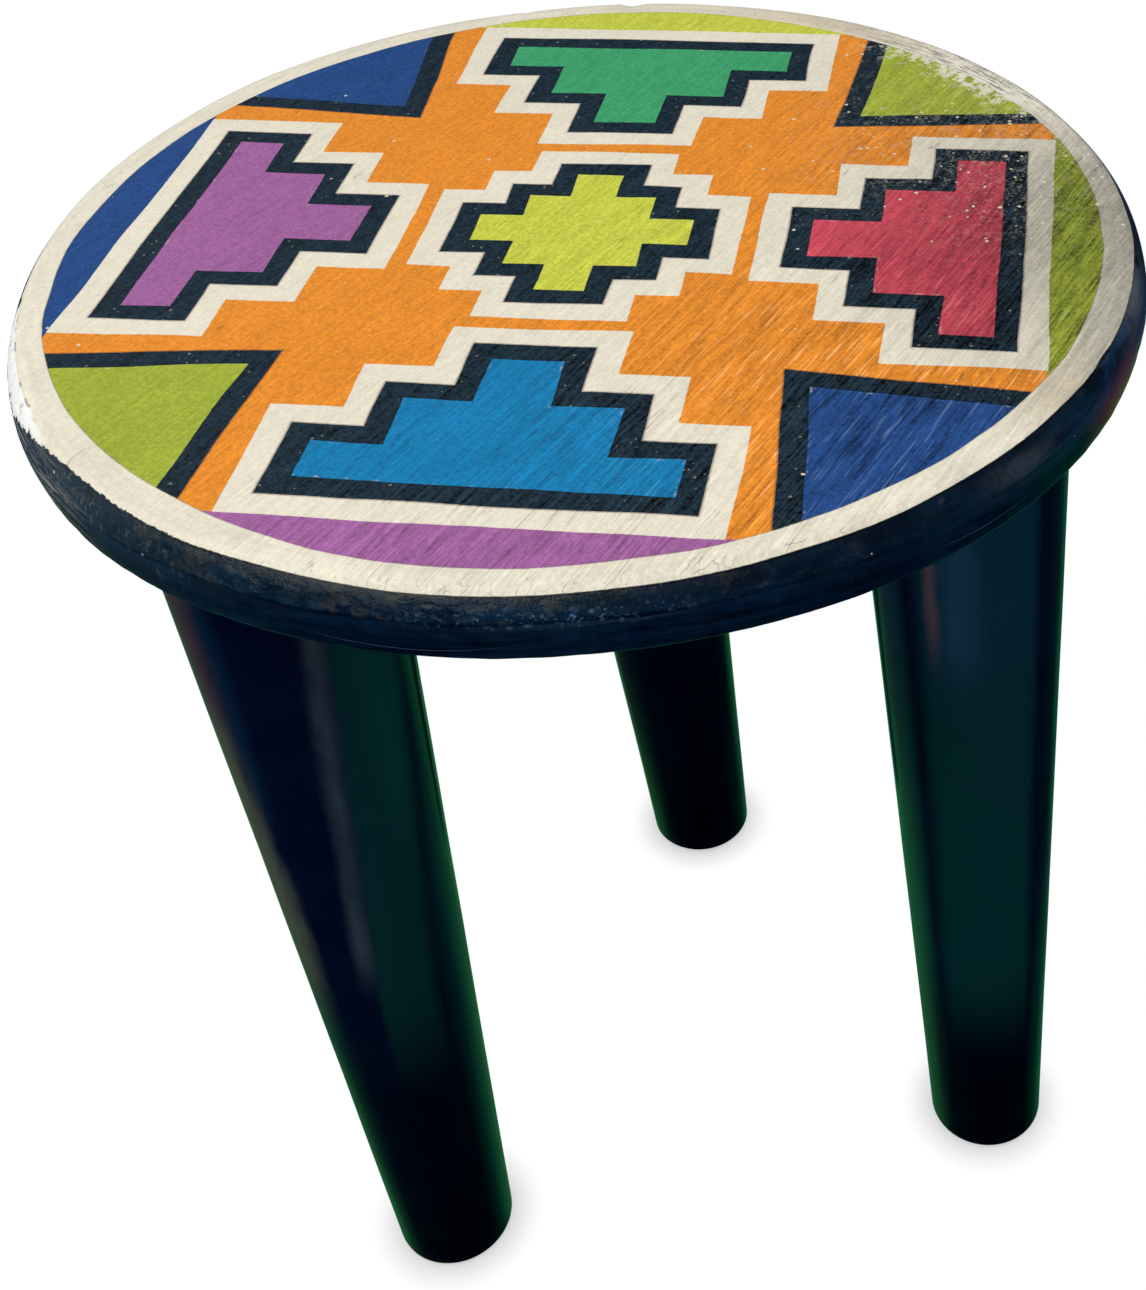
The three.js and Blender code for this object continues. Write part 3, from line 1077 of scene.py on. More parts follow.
    def rim(self, s: Sketch, spot: SeatSpot, edge: SeatEdge) -> tuple[Socket, Socket, Socket]:
        """Paints the rim and the underside: crumbled and rubbed above the groove, smoother below it.

        Args:
            s: The material's sketch.
            spot: The place on the seat.
            edge: Where the cream ends.

        Returns:
            The colour, the roughness and the height.
        """
        upper = s.ramp(spot.z, self.worn_start - 0.8, self.worn_start + 0.6)
        crust = s.total(0.4, s.product(s.hump(edge.over, 1.6, 2.6), 0.25))
        scuffs = s.total(0.03, s.product(upper, edge.hacked, crust))
        paint = s.use(self.effects.black, vector=spot.place, scuffs=scuffs, dark=srgb(1, 13, 34),
                      cast=srgb(2, 28, 48))
        rubbed = s.product(s.hump(edge.over, 1.6, 1.6), edge.hacked,
                           s.ramp(edge.slow, -0.12, 0.06, 0.1, 0.5))
        color = s.mix(rubbed, paint.outputs["Color"], srgb(24, 32, 32))
        color = s.mix(s.product(s.hump(edge.over, 0.3, 0.7), 0.85), color, srgb(8, 8, 10))
        strokes = self.round_lines(s, spot.turn, s.total(spot.reach, spot.z), 2.0, 83.0)
        color = s.dimmed(color, s.ramp(strokes, 0.36, 0.64, 0.55, 1.35))
        color = self.marked_left(s, spot, color)
        color = self.marked_right(s, spot, color)
        color = self.marked_front(s, spot, color)

        below = s.ramp(spot.z, self.seat_bottom + 0.2, self.seat_bottom + 1.2, 1.0, 0.0)
        roughness = s.total(paint.outputs["Roughness"], -0.05, s.product(upper, edge.hacked, -0.05),
                            s.product(below, 0.3), s.product(s.hump(spot.turn, *self.dull_band), 0.3))
        height = s.total(paint.outputs["Height"], s.product(strokes, 0.5))
        return color, roughness, height

    def build(self) -> bpy.types.Material:
        """Builds the seat's paint.

        Returns:
            The material.
        """
        material, s, shader = fresh_material("hand_painted_seat")
        spot = SeatSpot.read(s)
        steady = s.use(self.effects.wobble, vector=spot.flat).outputs["Vector"]
        color, inked = self.design(s, steady, s.grain(spot.flat, 34.0, 1.0, seed=31.0))
        color, rough_top, top_height = self.aged(s, spot, color, inked)
        edge = self.edge(s, spot)
        color = self.highlighted_wrap(s, spot, edge, color)
        rim_color, rough_rim, rim_height = self.rim(s, spot, edge)
        rim_shine = s.ramp(s.hump(spot.turn, *self.dull_band), 0.0, 1.0, self.gloss, self.dull)
        s.feed(shader.inputs["Base Color"], s.mix(edge.blackened, color, rim_color))
        s.feed(shader.inputs["Roughness"], s.mixed(edge.blackened, rough_top, rough_rim))
        s.feed(shader.inputs["Specular IOR Level"], s.mixed(edge.blackened, self.satin, rim_shine))
        shader.inputs["IOR"].default_value = self.varnish_ior
        raise_surface(s, shader, s.mixed(edge.blackened, top_height, rim_height), self.relief)
        return material


@dataclass(frozen=True)
class LegSpot:
    """What a leg's finish goes by: the height, the way the surface faces, and which leg it is."""

    z: Socket
    facing: Socket
    blotch: Socket
    on_left: Socket
    on_right: Socket


@dataclass(frozen=True)
class LegFinish:
    """Black gloss paint, navy in places, with reflections painted into its colour by the way the surface
    faces: teal above the foot, lighter and blue patches, a grey streak, and an olive to reddish edge on the
    front left leg's outside.

    A facing is the direction that the surface faces, in degrees from +X. A height is in millimetres.
    """

    effects: Effects
    left_legs_end: float = -50.0
    right_leg_start: float = 65.0
    navy: Color = srgb(0, 4, 30)
    varnish_ior: float = 1.5
    coat: float = 0.35
    coat_roughness: float = 0.08
    relief: float = 0.3

    def spot(self, s: Sketch, place: Socket) -> LegSpot:
        """Reads how high a place is, how it faces and which leg it is on.

        Args:
            s: The material's sketch.
            place: The place in millimetres.

        Returns:
            The place with its measures.
        """
        x, _, z = s.split(place)
        normal_x, normal_y, _ = s.split(s.node("ShaderNodeNewGeometry").outputs["Normal"])
        facing = s.product(s.maths("ARCTAN2", normal_y, normal_x), 180.0 / math.pi)
        blotch = s.swing(s.stretch(place, (1.0, 1.0, 0.3)), 12.0, 3.0, 0.6, seed=42.0)
        return LegSpot(z, facing, blotch, s.maths("LESS_THAN", x, self.left_legs_end),
                       s.maths("GREATER_THAN", x, self.right_leg_start))

    @staticmethod
    def right_leg(s: Sketch, spot: LegSpot) -> Socket:
        """Paints reflections onto the right leg: teal all over but for its edges, bluer towards the seat,
        with a lighter blue patch and a reddish one near the top.

        Args:
            s: The material's sketch.
            spot: The place on the leg.

        Returns:
            The colour.
        """
        facing, z = spot.facing, spot.z
        teal = s.mix(s.ramp(z, 265.0, 330.0), srgb(0, 44, 45), srgb(4, 44, 62))
        lit = s.product(s.hump(facing, -105.0, 20.0), s.ramp(z, 285.0, 320.0))
        teal = s.mix(lit, teal, srgb(22, 60, 84))
        share = s.product(s.ramp(facing, -138.0, -121.0), s.ramp(facing, -64.0, -52.0, 1.0, 0.0))
        share = s.larger(share, s.ramp(facing, -147.0, -138.0, 1.0, 0.0))
        color = s.mix(share, srgb(0, 8, 27), teal)
        blurred = s.total(facing, s.product(spot.blotch, 14.0))
        # a reddish painted reflection near the top of the leg
        warm = s.product(s.hump(blurred, -122.0, 7.0), s.ramp(z, 292.0, 335.0), 0.65)
        return s.mix(warm, color, srgb(104, 76, 76))

    def left_leg(self, s: Sketch, spot: LegSpot) -> Socket:
        """Paints reflections onto the front left leg: from navy to teal at a grey highlight streak that
        leans along it, with brighter teal and a blue edge higher up.

        Args:
            s: The material's sketch.
            spot: The place on the leg.

        Returns:
            The colour.
        """
        facing, z, blotch = spot.facing, spot.z, spot.blotch
        teal = s.mix(s.ramp(z, 190.0, 270.0), srgb(0, 42, 37), srgb(0, 43, 45))
        # painted highlight: brighter teal high on the side that faces right
        brighter = s.product(s.ramp(facing, -62.0, -44.0), s.ramp(z, 250.0, 310.0))
        teal = s.mix(brighter, teal, srgb(2, 56, 56))
        lean = s.product(s.total(s.larger(z, 192.0), -302.0), -0.14)
        leaning = s.total(facing, lean, 77.0, s.product(blotch, 5.0))
        share = s.product(s.ramp(leaning, 0.0, 9.0), s.ramp(leaning, 38.0, 52.0, 1.0, 0.0))
        color = s.mix(share, self.navy, teal)
        # painted highlight: a grey streak that leans along the leg
        streak = s.product(s.hump(leaning, -2.0, 10.0), s.ramp(z, 193.0, 228.0),
                           s.ramp(blotch, -0.2, 0.2, 0.5, 1.0))
        color = s.mix(streak, color, srgb(44, 58, 68))
        # painted reflection: a blue edge high on the side that faces front left
        blue_edge_reflection = s.product(s.hump(facing, -124.0, 11.0), s.ramp(z, 278.0, 310.0), 0.8)
        return s.mix(blue_edge_reflection, color, srgb(4, 32, 56))

    def tinted(self, s: Sketch, spot: LegSpot) -> Socket:
        """Tints the black by the leg, the height and the way that the surface faces, which paints the legs'
        reflections into their colour.

        Args:
            s: The material's sketch.
            spot: The place on the leg.

        Returns:
            The colour.
        """
        z = spot.z
        # darker towards the foot, below the leg's painted reflections
        foot = s.mix(s.ramp(z, 30.0, 80.0), srgb(0, 0, 3), srgb(0, 1, 13))
        rise = s.mixed(spot.on_right, s.ramp(z, 125.0, 205.0), s.ramp(z, 68.0, 135.0))
        others = s.mix(spot.on_left, self.navy, self.left_leg(s, spot))
        color = s.mix(rise, foot, s.mix(spot.on_right, others, self.right_leg(s, spot)))

        # painted reflection: an olive edge, reddish higher up, on the outside of the front left leg
        narrowed = s.total(spot.facing, s.product(spot.blotch, 22.0), s.ramp(z, 245.0, 300.0, 0.0, 5.5))
        edge_reflection_share = s.product(s.ramp(narrowed, -140.0, -118.0, 1.0, 0.0), spot.on_left, s.ramp(z, 160.0, 238.0))
        overlay = s.mix(s.ramp(z, 308.0, 350.0), srgb(90, 96, 78), srgb(78, 62, 64))
        return s.mix(s.product(edge_reflection_share, 0.9), color, overlay)

    def build(self) -> bpy.types.Material:
        """Builds the legs' paint.

        Returns:
            The material.
        """
        material, s, shader = fresh_material("black_gloss_legs")
        place = in_millimetres(s)
        spot = self.spot(s, place)
        tint = self.tinted(s, spot)
        cast = s.mix(0.1, tint, s.mix(s.ramp(spot.z, 60.0, 200.0), tint, srgb(6, 40, 66)))
        scuffs = s.ramp(spot.z, 2.0, 14.0, 0.12, 0.02)
        paint = s.use(self.effects.black, vector=place, scuffs=scuffs, dark=tint, cast=cast)
        chips = s.use(self.effects.chips, vector=place, spacing=11.0, size=0.6, share=0.05)
        color = s.mix(s.product(chips.outputs["Mask"], 0.5), paint.outputs["Color"], srgb(70, 78, 74))
        s.feed(shader.inputs["Base Color"], color)
        s.feed(shader.inputs["Roughness"], s.total(paint.outputs["Roughness"], -0.03))
        shader.inputs["IOR"].default_value = self.varnish_ior
        shader.inputs["Coat Weight"].default_value = self.coat
        shader.inputs["Coat Roughness"].default_value = self.coat_roughness
        facets = s.grain(s.stretch(place, (1.0, 1.0, 0.05)), 9.0, 2.0, 0.5, seed=41.0)
        height = s.total(s.product(paint.outputs["Height"], 0.15), facets)
        raise_surface(s, shader, height, self.relief)
        return material


@dataclass(frozen=True)
class BareWoodFinish:
    """Pale sawn wood with its grain and pores, for dowels, wedges and what the paint doesn't reach."""

    effects: Effects
    grain_angle: float
    crack_share: float = 0.3
    relief: float = 0.2

    def build(self) -> bpy.types.Material:
        """Builds the bare wood.

        Returns:
            The material.
        """
        material, s, shader = fresh_material("bare_wood")
        place = in_millimetres(s)
        grained = s.turned(place, -self.grain_angle)
        wood = s.use(self.effects.wood_grain, vector=grained, crack_share=self.crack_share)
        color = s.mix(wood.outputs["Streaks"], srgb(158, 116, 70), srgb(204, 166, 112))
        grime = s.ramp(s.grain(place, 9.0, 3.0, seed=51.0), 0.45, 0.7)
        color = s.mix(s.product(grime, 0.35), color, srgb(96, 74, 52))
        color = s.mix(s.product(wood.outputs["Cracks"], 0.7), color, srgb(60, 42, 28))
        s.feed(shader.inputs["Base Color"], color)
        s.feed(shader.inputs["Roughness"], s.ramp(grime, 0.0, 1.0, 0.72, 0.85))
        raise_surface(s, shader, wood.outputs["Height"], self.relief)
        return material


def held(value: float, low: float = 0.0, high: float = 1.0) -> float:
    """Keeps a number between two limits."""
    return min(max(value, low), high)


def bend(start: Pair, middle: Pair, end: Pair,
         share: float) -> Pair:
    """Finds the place at a share of a quadratic curve.

    Args:
        start: The curve's first point.
        middle: Its control point.
        end: Its last point.
        share: The share, from 0 to 1.

    Returns:
        The place.
    """
    rest = 1 - share
    x, y = (rest * rest * a + 2 * rest * share * b + share * share * c
            for a, b, c in zip(start, middle, end))
    return x, y


@dataclass
class Seat:
    """The round painted seat of three boards. Lengths are in millimetres, heights from the floor.

    The bow and the dish are slow waves in the rim and in the top, and hand_cut holds the size of the
    outline's waves by how many of them go round the seat.
    """

    nodes: dict[str, bpy.types.Object]
    names: tuple[str, ...] = ("seat_board_left", "seat_board_middle", "seat_board_right")
    grain_angle: float = 55.5
    under_inset: float = 0.4
    under_rounding: float = 2.5
    worn_depth: float = 8.0
    worn_inset: float = 0.6
    worn_lean: float = 3.0
    worn_turn: float = 4.5
    cream_share: float = 0.4
    segments: int = 760
    top_rings: int = 30
    worn_rings: int = 24
    side_rings: int = 24
    under_rings: int = 12
    corner_rings: int = 9
    rim_fade: float = 6.0
    bow: float = 0.5
    bow_size: float = 42.0
    dish: float = 0.12
    dish_size: float = 60.0
    hand_cut: dict[int, float] = field(default_factory=lambda: {0: 0.3, 2: 0.6, 4: -0.8})
    unworn_back: float = 3.0
    hacked_middle: float = 1.37 * math.pi
    hacked_reach: float = 0.65
    lump_height: float = 0.6
    lump_width: float = 5.5
    lump_rise: float = 2.6
    cut_depth: float = 0.2
    groove_depth: float = 0.4
    groove_width: float = 0.6
    groove_wander: float = 0.9
    nick_start: float = 0.42
    nick_depth: float = 3.0
    nick_drop: float = 1.6
    radius: float = field(init=False)
    top: float = field(init=False)
    bottom: float = field(init=False)

    def __post_init__(self) -> None:
        """Reads the seat's size from the frame."""
        corners = [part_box(name) for name in self.names]
        self.top = max(high.z for _, high in corners) / MM
        self.bottom = min(low.z for low, _ in corners) / MM
        self.radius = max(max(high.x, -low.x) for low, high in corners) / MM
        self.radius = max(self.radius, max(max(high.y, -low.y) for low, high in corners) / MM)

    @property
    def worn_start(self) -> float:
        """The height where the worn edge of the rim starts."""
        return self.top - self.worn_depth

    def worn_edge(self) -> tuple[Pair, Pair, Pair]:
        """Draws the worn edge as a quadratic curve, from the flat of the top down.

        Returns:
            Its first point, its control point and its last, each as (radius, height).
        """
        lowest = self.radius - self.worn_inset
        turn_over = lowest - self.worn_lean
        return (turn_over - self.worn_turn, self.top), (turn_over, self.top), (lowest, self.worn_start)

    def cream_end(self) -> Pair:
        """Where the cream usually ends, part of the way down the worn edge, as (radius, height)."""
        return bend(*self.worn_edge(), self.cream_share)

    def across_grain(self) -> Vector:
        """The direction across the boards, from the right board to the left one."""
        angle = math.radians(self.grain_angle + 90)
        return Vector((math.cos(angle), math.sin(angle), 0))

    def seams(self) -> list[float]:
        """Finds where the two seams lie across the grain, from the boards' own edges.

        Returns:
            The places across the grain, in metres.
        """
        across = np.array(self.across_grain())

        def reach(name: str) -> Pair:
            """How far a board reaches across the grain, both ways."""
            spots = np.array([vertex.co for vertex in self.nodes[name].data.vertices]) @ across
            return float(spots.min()), float(spots.max())

        left, middle, right = (reach(name) for name in self.names)
        return [(left[0] + middle[1]) / 2, (middle[0] + right[1]) / 2]

    def outline(self) -> np.ndarray:
        """Draws half the seat's section from the middle of the top, round the rim, to the middle below.

        Returns:
            Points of (radius, height), the first and the last on the axis.
        """
        under_edge = self.radius - self.under_inset
        flat_end, turn_over, lowest = self.worn_edge()
        bulge = 2 * self.radius - (under_edge + lowest[0]) / 2
        side_end = (under_edge, self.bottom + self.under_rounding)
        belly = (bulge, (side_end[1] + lowest[1]) / 2)
        turn_end = (under_edge - self.under_rounding, self.bottom)

        def run(start: tuple, middle: tuple, end: tuple, count: int) -> list[Pair]:
            """Points of a quadratic curve, without its first."""
            return [bend(start, middle, end, (i + 1) / count) for i in range(count)]

        flat = [(flat_end[0] * (i / self.top_rings) ** 0.8, self.top) for i in range(self.top_rings + 1)]
        worn = run(flat_end, turn_over, lowest, self.worn_rings)
        side = run(lowest, belly, side_end, self.side_rings)
        turn = run(side_end, (under_edge, self.bottom), turn_end, self.corner_rings)
        under = [(turn_end[0] * (1 - (i + 1) / self.under_rings), self.bottom)
                 for i in range(self.under_rings)]
        return np.array(flat + worn + side + turn + under)

    def carve(self, spot: Vector, angle: float) -> Pair:
        """Says how far a point of the smooth seat moves when the rim is knife-cut and worn.

        Args:
            spot: The point, in millimetres.
            angle: Its angle about the seat's axis.

        Returns:
            The move outwards and the move upwards, in millimetres.
        """
        reach = math.hypot(spot.x, spot.y)
        (flat_end, _), _, (lowest, _) = self.worn_edge()
        rimward = held((reach - flat_end + self.rim_fade) / self.rim_fade)
        above = spot.z - self.worn_start
        out = self.bow * noise.noise(spot / self.bow_size + Vector((9, 2, 4)))
        out += sum(size * math.cos(lobes * angle) for lobes, size in self.hand_cut.items())
        out *= rimward
        share = held((reach - flat_end) / (lowest - flat_end)) if above > 0 else 0
        backward = held(math.sin(angle)) ** 2
        out += 4 * share * (1 - share) * backward * self.unworn_back
        on_top = 1 if above > self.worn_depth - 4 else 0
        up = self.dish * on_top * noise.noise(Vector((spot.x, spot.y, 0)) / self.dish_size)

        # hacked and worn above the groove, smoother below it
        upper = held(above / 1.2 + 0.2) * held((self.worn_depth + 0.2 - above) / 3)
        hacked = held(1.5 - abs(angle - self.hacked_middle) / self.hacked_reach, 0.12)
        patchy = hacked * held(0.6 + 1.5 * noise.noise(Vector((4 * angle, 0, 7))), 0.2)
        width, rise = self.lump_width, self.lump_rise
        lumps = noise.fractal(Vector((spot.x / width, spot.y / width, spot.z / rise)), 0.8, 2.1, 4)
        out += rimward * upper * patchy * self.lump_height * lumps
        cuts = noise.noise(Vector((angle * 26 + above * 0.25, above * 0.1, 3)))
        out += rimward * held(-above / 2) * self.cut_depth * cuts
        wander = self.groove_wander * noise.noise(Vector((5 * angle, 3, 1)))
        groove = math.exp(-(((above + 0.5 - wander) / self.groove_width) ** 2))
        out -= rimward * self.groove_depth * groove * (0.3 + patchy)
        nick = noise.noise(Vector((angle * 17, 11, above * 0.35)))
        if above > self.worn_depth - 5 and nick > self.nick_start:
            out -= rimward * (nick - self.nick_start) * self.nick_depth
            up -= rimward * (nick - self.nick_start) * self.nick_drop
        return out, up

    def skin(self) -> bpy.types.Mesh:
        """Builds the whole seat's closed skin.

        Returns:
            The mesh, in metres.
        """
        section = self.outline()
        rings = section[1:-1]
        turns = 2 * math.pi * np.arange(self.segments) / self.segments
        spots = [(0.0, 0.0, self.top)]
        for radius, height in rings:
            for angle in turns:
                flat = Vector((radius * math.cos(angle), radius * math.sin(angle), height))
                out, up = self.carve(flat, angle)
                spots.append((flat.x + out * math.cos(angle), flat.y + out * math.sin(angle), flat.z + up))
        spots.append((0.0, 0.0, self.bottom))
        n, last = self.segments, len(spots) - 1
        step = np.arange(n)
        after = (step + 1) % n
        faces: list[tuple[int, ...]] = [(0, 1 + int(i), 1 + int(j)) for i, j in zip(step, after)]
        for ring in range(len(rings) - 1):
            near, far = 1 + ring * n, 1 + (ring + 1) * n
            faces += [(near + int(i), far + int(i), far + int(j), near + int(j))
                      for i, j in zip(step, after)]
        edge = 1 + (len(rings) - 1) * n
        faces += [(last, edge + int(j), edge + int(i)) for i, j in zip(step, after)]
        mesh = bpy.data.meshes.new("seat_skin")
        mesh.from_pydata([tuple(value * MM for value in spot) for spot in spots], [], faces)
        mesh.polygons.foreach_set("use_smooth", [True] * len(mesh.polygons))
        return mesh

    def board(self, name: str, skin: bpy.types.Mesh, low: Optional[float], high: Optional[float],
              materials: Iterable[bpy.types.Material]) -> bpy.types.Object:
        """Saws one board out of the skin, with bare wood on its sawn faces.

        Args:
            name: The board's node in the frame.
            skin: The whole seat.
            low: The seam on the board's lower side across the grain, in metres, if it has one.
            high: The seam on its upper side, if it has one.
            materials: The paint and the bare wood.

        Returns:
            The board.
        """
        solid = bmesh.new()
        solid.from_mesh(skin)
        across = self.across_grain()
        for seam, outwards in ((low, -across), (high, across)):
            if seam is None:
                continue
            parts = list(solid.verts) + list(solid.edges) + list(solid.faces)
            cut = bmesh.ops.bisect_plane(solid, geom=parts, dist=1e-7, plane_co=across * seam,
                                         plane_no=outwards, clear_outer=True)
            rim = [part for part in cut["geom_cut"] if isinstance(part, bmesh.types.BMEdge)]
            sawn = bmesh.ops.contextual_create(solid, geom=rim, mat_nr=1)["faces"]
            for face in sawn:
                face.smooth = False
            for edge in rim:
                edge.smooth = False
        bmesh.ops.recalc_face_normals(solid, faces=solid.faces)
        mesh = bpy.data.meshes.new(f"painted_{name}")
        solid.to_mesh(mesh)
        solid.free()
        for material in materials:
            mesh.materials.append(material)
        piece = bpy.data.objects.new(f"painted_{name}", mesh)
        bpy.context.scene.collection.objects.link(piece)
        return piece

    def build(self, paint: bpy.types.Material, wood: bpy.types.Material) -> None:
        """Builds the three boards and puts them in place of the plain ones.

        Args:
            paint: The seat's paint.
            wood: The bare wood for the sawn faces.
        """
        skin = self.skin()
        left_seam, right_seam = self.seams()
        limits = ((left_seam, None), (right_seam, left_seam), (None, right_seam))
        for name, (low, high) in zip(self.names, limits):
            piece = self.board(name, skin, low, high, (paint, wood))
            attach(piece, "root")
            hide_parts(name)
            log.info("%s: %d faces", piece.name, len(piece.data.polygons))


@dataclass
class Legs:
    """The three turned legs, leaned as the construction has them. Sizes are in millimetres.

    Slow waves go up and round a leg's side and fade before its ends, as a share of the section's length.
    """

    nodes: dict[str, bpy.types.Object]
    seat_bottom: float
    names: tuple[str, ...] = ("leg_front_left", "leg_right", "leg_back")
    foot_rounding: float = 3.0
    shoulder_rounding: float = 1.0
    tenon_chamfer: float = 1.0
    segments: int = 192
    rings: int = 201
    waviness: float = 0.35
    wave_fade: float = 0.05
    wave_round: float = 1.6
    wave_climb: float = 9.0
    glue_gap: float = 0.3
    slice_half: float = 0.05
    sole_height: float = 0.15
    shoulder_margin: float = 0.2
    merge_distance: float = 0.002
    crease_angle: float = 32.0
    seed_step: float = 3.7

    # shares of the section's length: foot face, its rounding, the side, the shoulder and the tenon
    stops: tuple[float, ...] = (0.0, 0.04, 0.10, 0.82, 0.84, 0.88, 0.94, 0.96, 1.0)

    def ring(self, name: str, height: float) -> tuple[Vector, float]:
        """Measures the leg at a height on its CAD node.

        Args:
            name: The leg's node.
            height: The height, in millimetres.

        Returns:
            The middle and the radius of what lies there, in metres.
        """
        low, high = (height - self.slice_half) * MM, (height + self.slice_half) * MM
        spots = [vertex.co for vertex in self.nodes[name].data.vertices if low <= vertex.co.z <= high]
        array = np.array(spots)
        middle = Vector((array.min(0) + array.max(0)) / 2)
        radius = max((spot.xy - middle.xy).length for spot in spots)
        return middle, radius

    def section(self, s: Sketch, given: dict[str, Socket], along: Socket) -> tuple[Socket, Socket]:
        """Draws the leg's section by the share of its length.

        Args:
            s: The tree's sketch.
            given: The tree's inputs by name.
            along: The share of the section's length.

        Returns:
            The radius and the height, in metres.
        """

        def part(number: int, amount: Value) -> Socket:
            """Grows from nothing to the amount over one stretch of the section."""
            return s.ramp(along, *self.stops[number:number + 2], 0.0, amount, smooth=False)

        foot_turn, shoulder_turn = part(1, math.pi / 2), part(3, math.pi / 2)
        foot_rounding, shoulder_rounding = given["Foot Rounding"], given["Shoulder Rounding"]
        flat_top = s.minus(given["Top Radius"], shoulder_rounding)
        radius = s.total(
            part(0, s.minus(given["Foot Radius"], foot_rounding)),
            s.product(foot_rounding, s.maths("SINE", foot_turn)),
            part(2, s.minus(given["Top Radius"], given["Foot Radius"])),
            s.product(shoulder_rounding, s.minus(s.maths("COSINE", shoulder_turn), 1.0)),
            part(4, s.minus(given["Tenon Radius"], flat_top)),
            part(6, s.product(given["Tenon Chamfer"], -1.0)),
            part(7, s.minus(given["Tenon Chamfer"], given["Tenon Radius"])),
        )
        side = s.minus(s.minus(given["Shoulder Height"], foot_rounding), shoulder_rounding)
        tenon = s.minus(s.minus(given["Tenon End"], given["Shoulder Height"]), given["Tenon Chamfer"])
        height = s.total(
            s.product(foot_rounding, s.rest(s.maths("COSINE", foot_turn))),
            part(2, side),
            s.product(shoulder_rounding, s.maths("SINE", shoulder_turn)),
            part(5, tenon),
            part(6, given["Tenon Chamfer"]),
        )
        return radius, height

    def dressed(self, s: Sketch, given: dict[str, Socket], placed: Socket) -> Socket:
        """Closes the leg, creases its hard edges and paints it but for its sole and its tenon.

        Args:
            s: The tree's sketch.
            given: The tree's inputs by name.
            placed: The leg's open skin.

        Returns:
            The finished leg.
        """

        def compare(first: Value, second: Value, operation: str) -> Socket:
            """Compares two numbers."""
            inputs = {"A": first, "B": second}
            return s.run("FunctionNodeCompare", inputs, data_type="FLOAT", operation=operation)

        merge = {"Geometry": placed, "Distance": self.merge_distance * MM}
        closed = s.run("GeometryNodeMergeByDistance", merge)
        bend_angle = s.node("GeometryNodeInputMeshEdgeAngle").outputs["Unsigned Angle"]
        soft = compare(bend_angle, math.radians(self.crease_angle), "LESS_THAN")
        smooth = {"Geometry": closed, "Shade Smooth": soft}
        shaded = s.run("GeometryNodeSetShadeSmooth", smooth, domain="EDGE")
        whole = s.run("GeometryNodeRealizeInstances", {"Geometry": shaded})
        painted = s.run("GeometryNodeSetMaterial", {"Geometry": whole, "Material": given["Paint"]})
        _, _, z = s.split(s.run("GeometryNodeInputPosition", {}))
        under = compare(z, self.sole_height * MM, "LESS_THAN")
        shoulder = s.total(given["Shoulder Height"], self.shoulder_margin * MM)
        above = compare(z, shoulder, "GREATER_THAN")
        bare = s.run("FunctionNodeBooleanMath", {0: under, 1: above}, operation="OR")
        ends = {"Geometry": painted, "Selection": bare, "Material": given["Bare Wood"]}
        return s.run("GeometryNodeSetMaterial", ends)

    def tree(self) -> bpy.types.NodeTree:
        """Builds the tree that turns a leg from its section and leans it.

        Returns:
            The tree, with the leg's sizes in metres as named inputs.
        """
        tree = bpy.data.node_groups.new("Turned Leg", "GeometryNodeTree")
        tree.is_modifier = True
        inputs = {
            "Geometry": "Geometry", "Foot Radius": "Float", "Top Radius": "Float",
            "Shoulder Height": "Float", "Foot Rounding": "Float", "Shoulder Rounding": "Float",
            "Tenon Radius": "Float", "Tenon End": "Float", "Tenon Chamfer": "Float",
            "Foot Middle": "Vector", "Lean": "Vector", "Segments": "Int", "Rings": "Int",
            "Waviness": "Float", "Seed": "Float", "Paint": "Material", "Bare Wood": "Material",
        }
        for title, kind in inputs.items():
            tree.interface.new_socket(title, in_out="INPUT", socket_type=f"NodeSocket{kind}")
        tree.interface.new_socket("Geometry", in_out="OUTPUT", socket_type="NodeSocketGeometry")
        s = Sketch(tree)
        start, end = s.node("NodeGroupInput"), s.node("NodeGroupOutput")
        given = {title: start.outputs[title] for title in inputs}

        columns = s.maths("ADD", given["Segments"], 1.0)
        counts = {"Size X": 1.0, "Size Y": 1.0, "Vertices X": columns, "Vertices Y": given["Rings"]}
        sheet = s.run("GeometryNodeMeshGrid", counts, "Mesh")
        x, y, _ = s.split(s.run("GeometryNodeInputPosition", {}))
        angle = s.product(s.total(x, 0.5), 2 * math.pi)
        along = s.total(y, 0.5)
        radius, height = self.section(s, given, along)

        around = s.joined(s.maths("COSINE", angle), s.maths("SINE", angle), 0.0)
        climb = s.joined(0.0, 0.0, s.product(height, self.wave_climb))
        probe = s.vector("ADD", s.scaled(around, self.wave_round), climb)
        waves = s.swing(probe, 1.0, 2.0, 0.45, seed=given["Seed"])
        _, side_start, rounded, side_end, *_ = self.stops
        on_side = s.product(s.ramp(along, side_start, rounded + self.wave_fade),
                            s.ramp(along, side_end - self.wave_fade, side_end, 1.0, 0.0))
        radius = s.total(radius, s.product(waves, 2.0, given["Waviness"], on_side))
        upright = s.vector("ADD", s.scaled(around, radius), s.joined(0.0, 0.0, height))
        leaning = s.vector("ADD", upright, s.scaled(given["Lean"], height))
        leaned = s.vector("ADD", leaning, given["Foot Middle"])
        placed = s.run("GeometryNodeSetPosition", {"Geometry": sheet, "Position": leaned})
        s.feed(end.inputs["Geometry"], self.dressed(s, given, placed))
        return tree

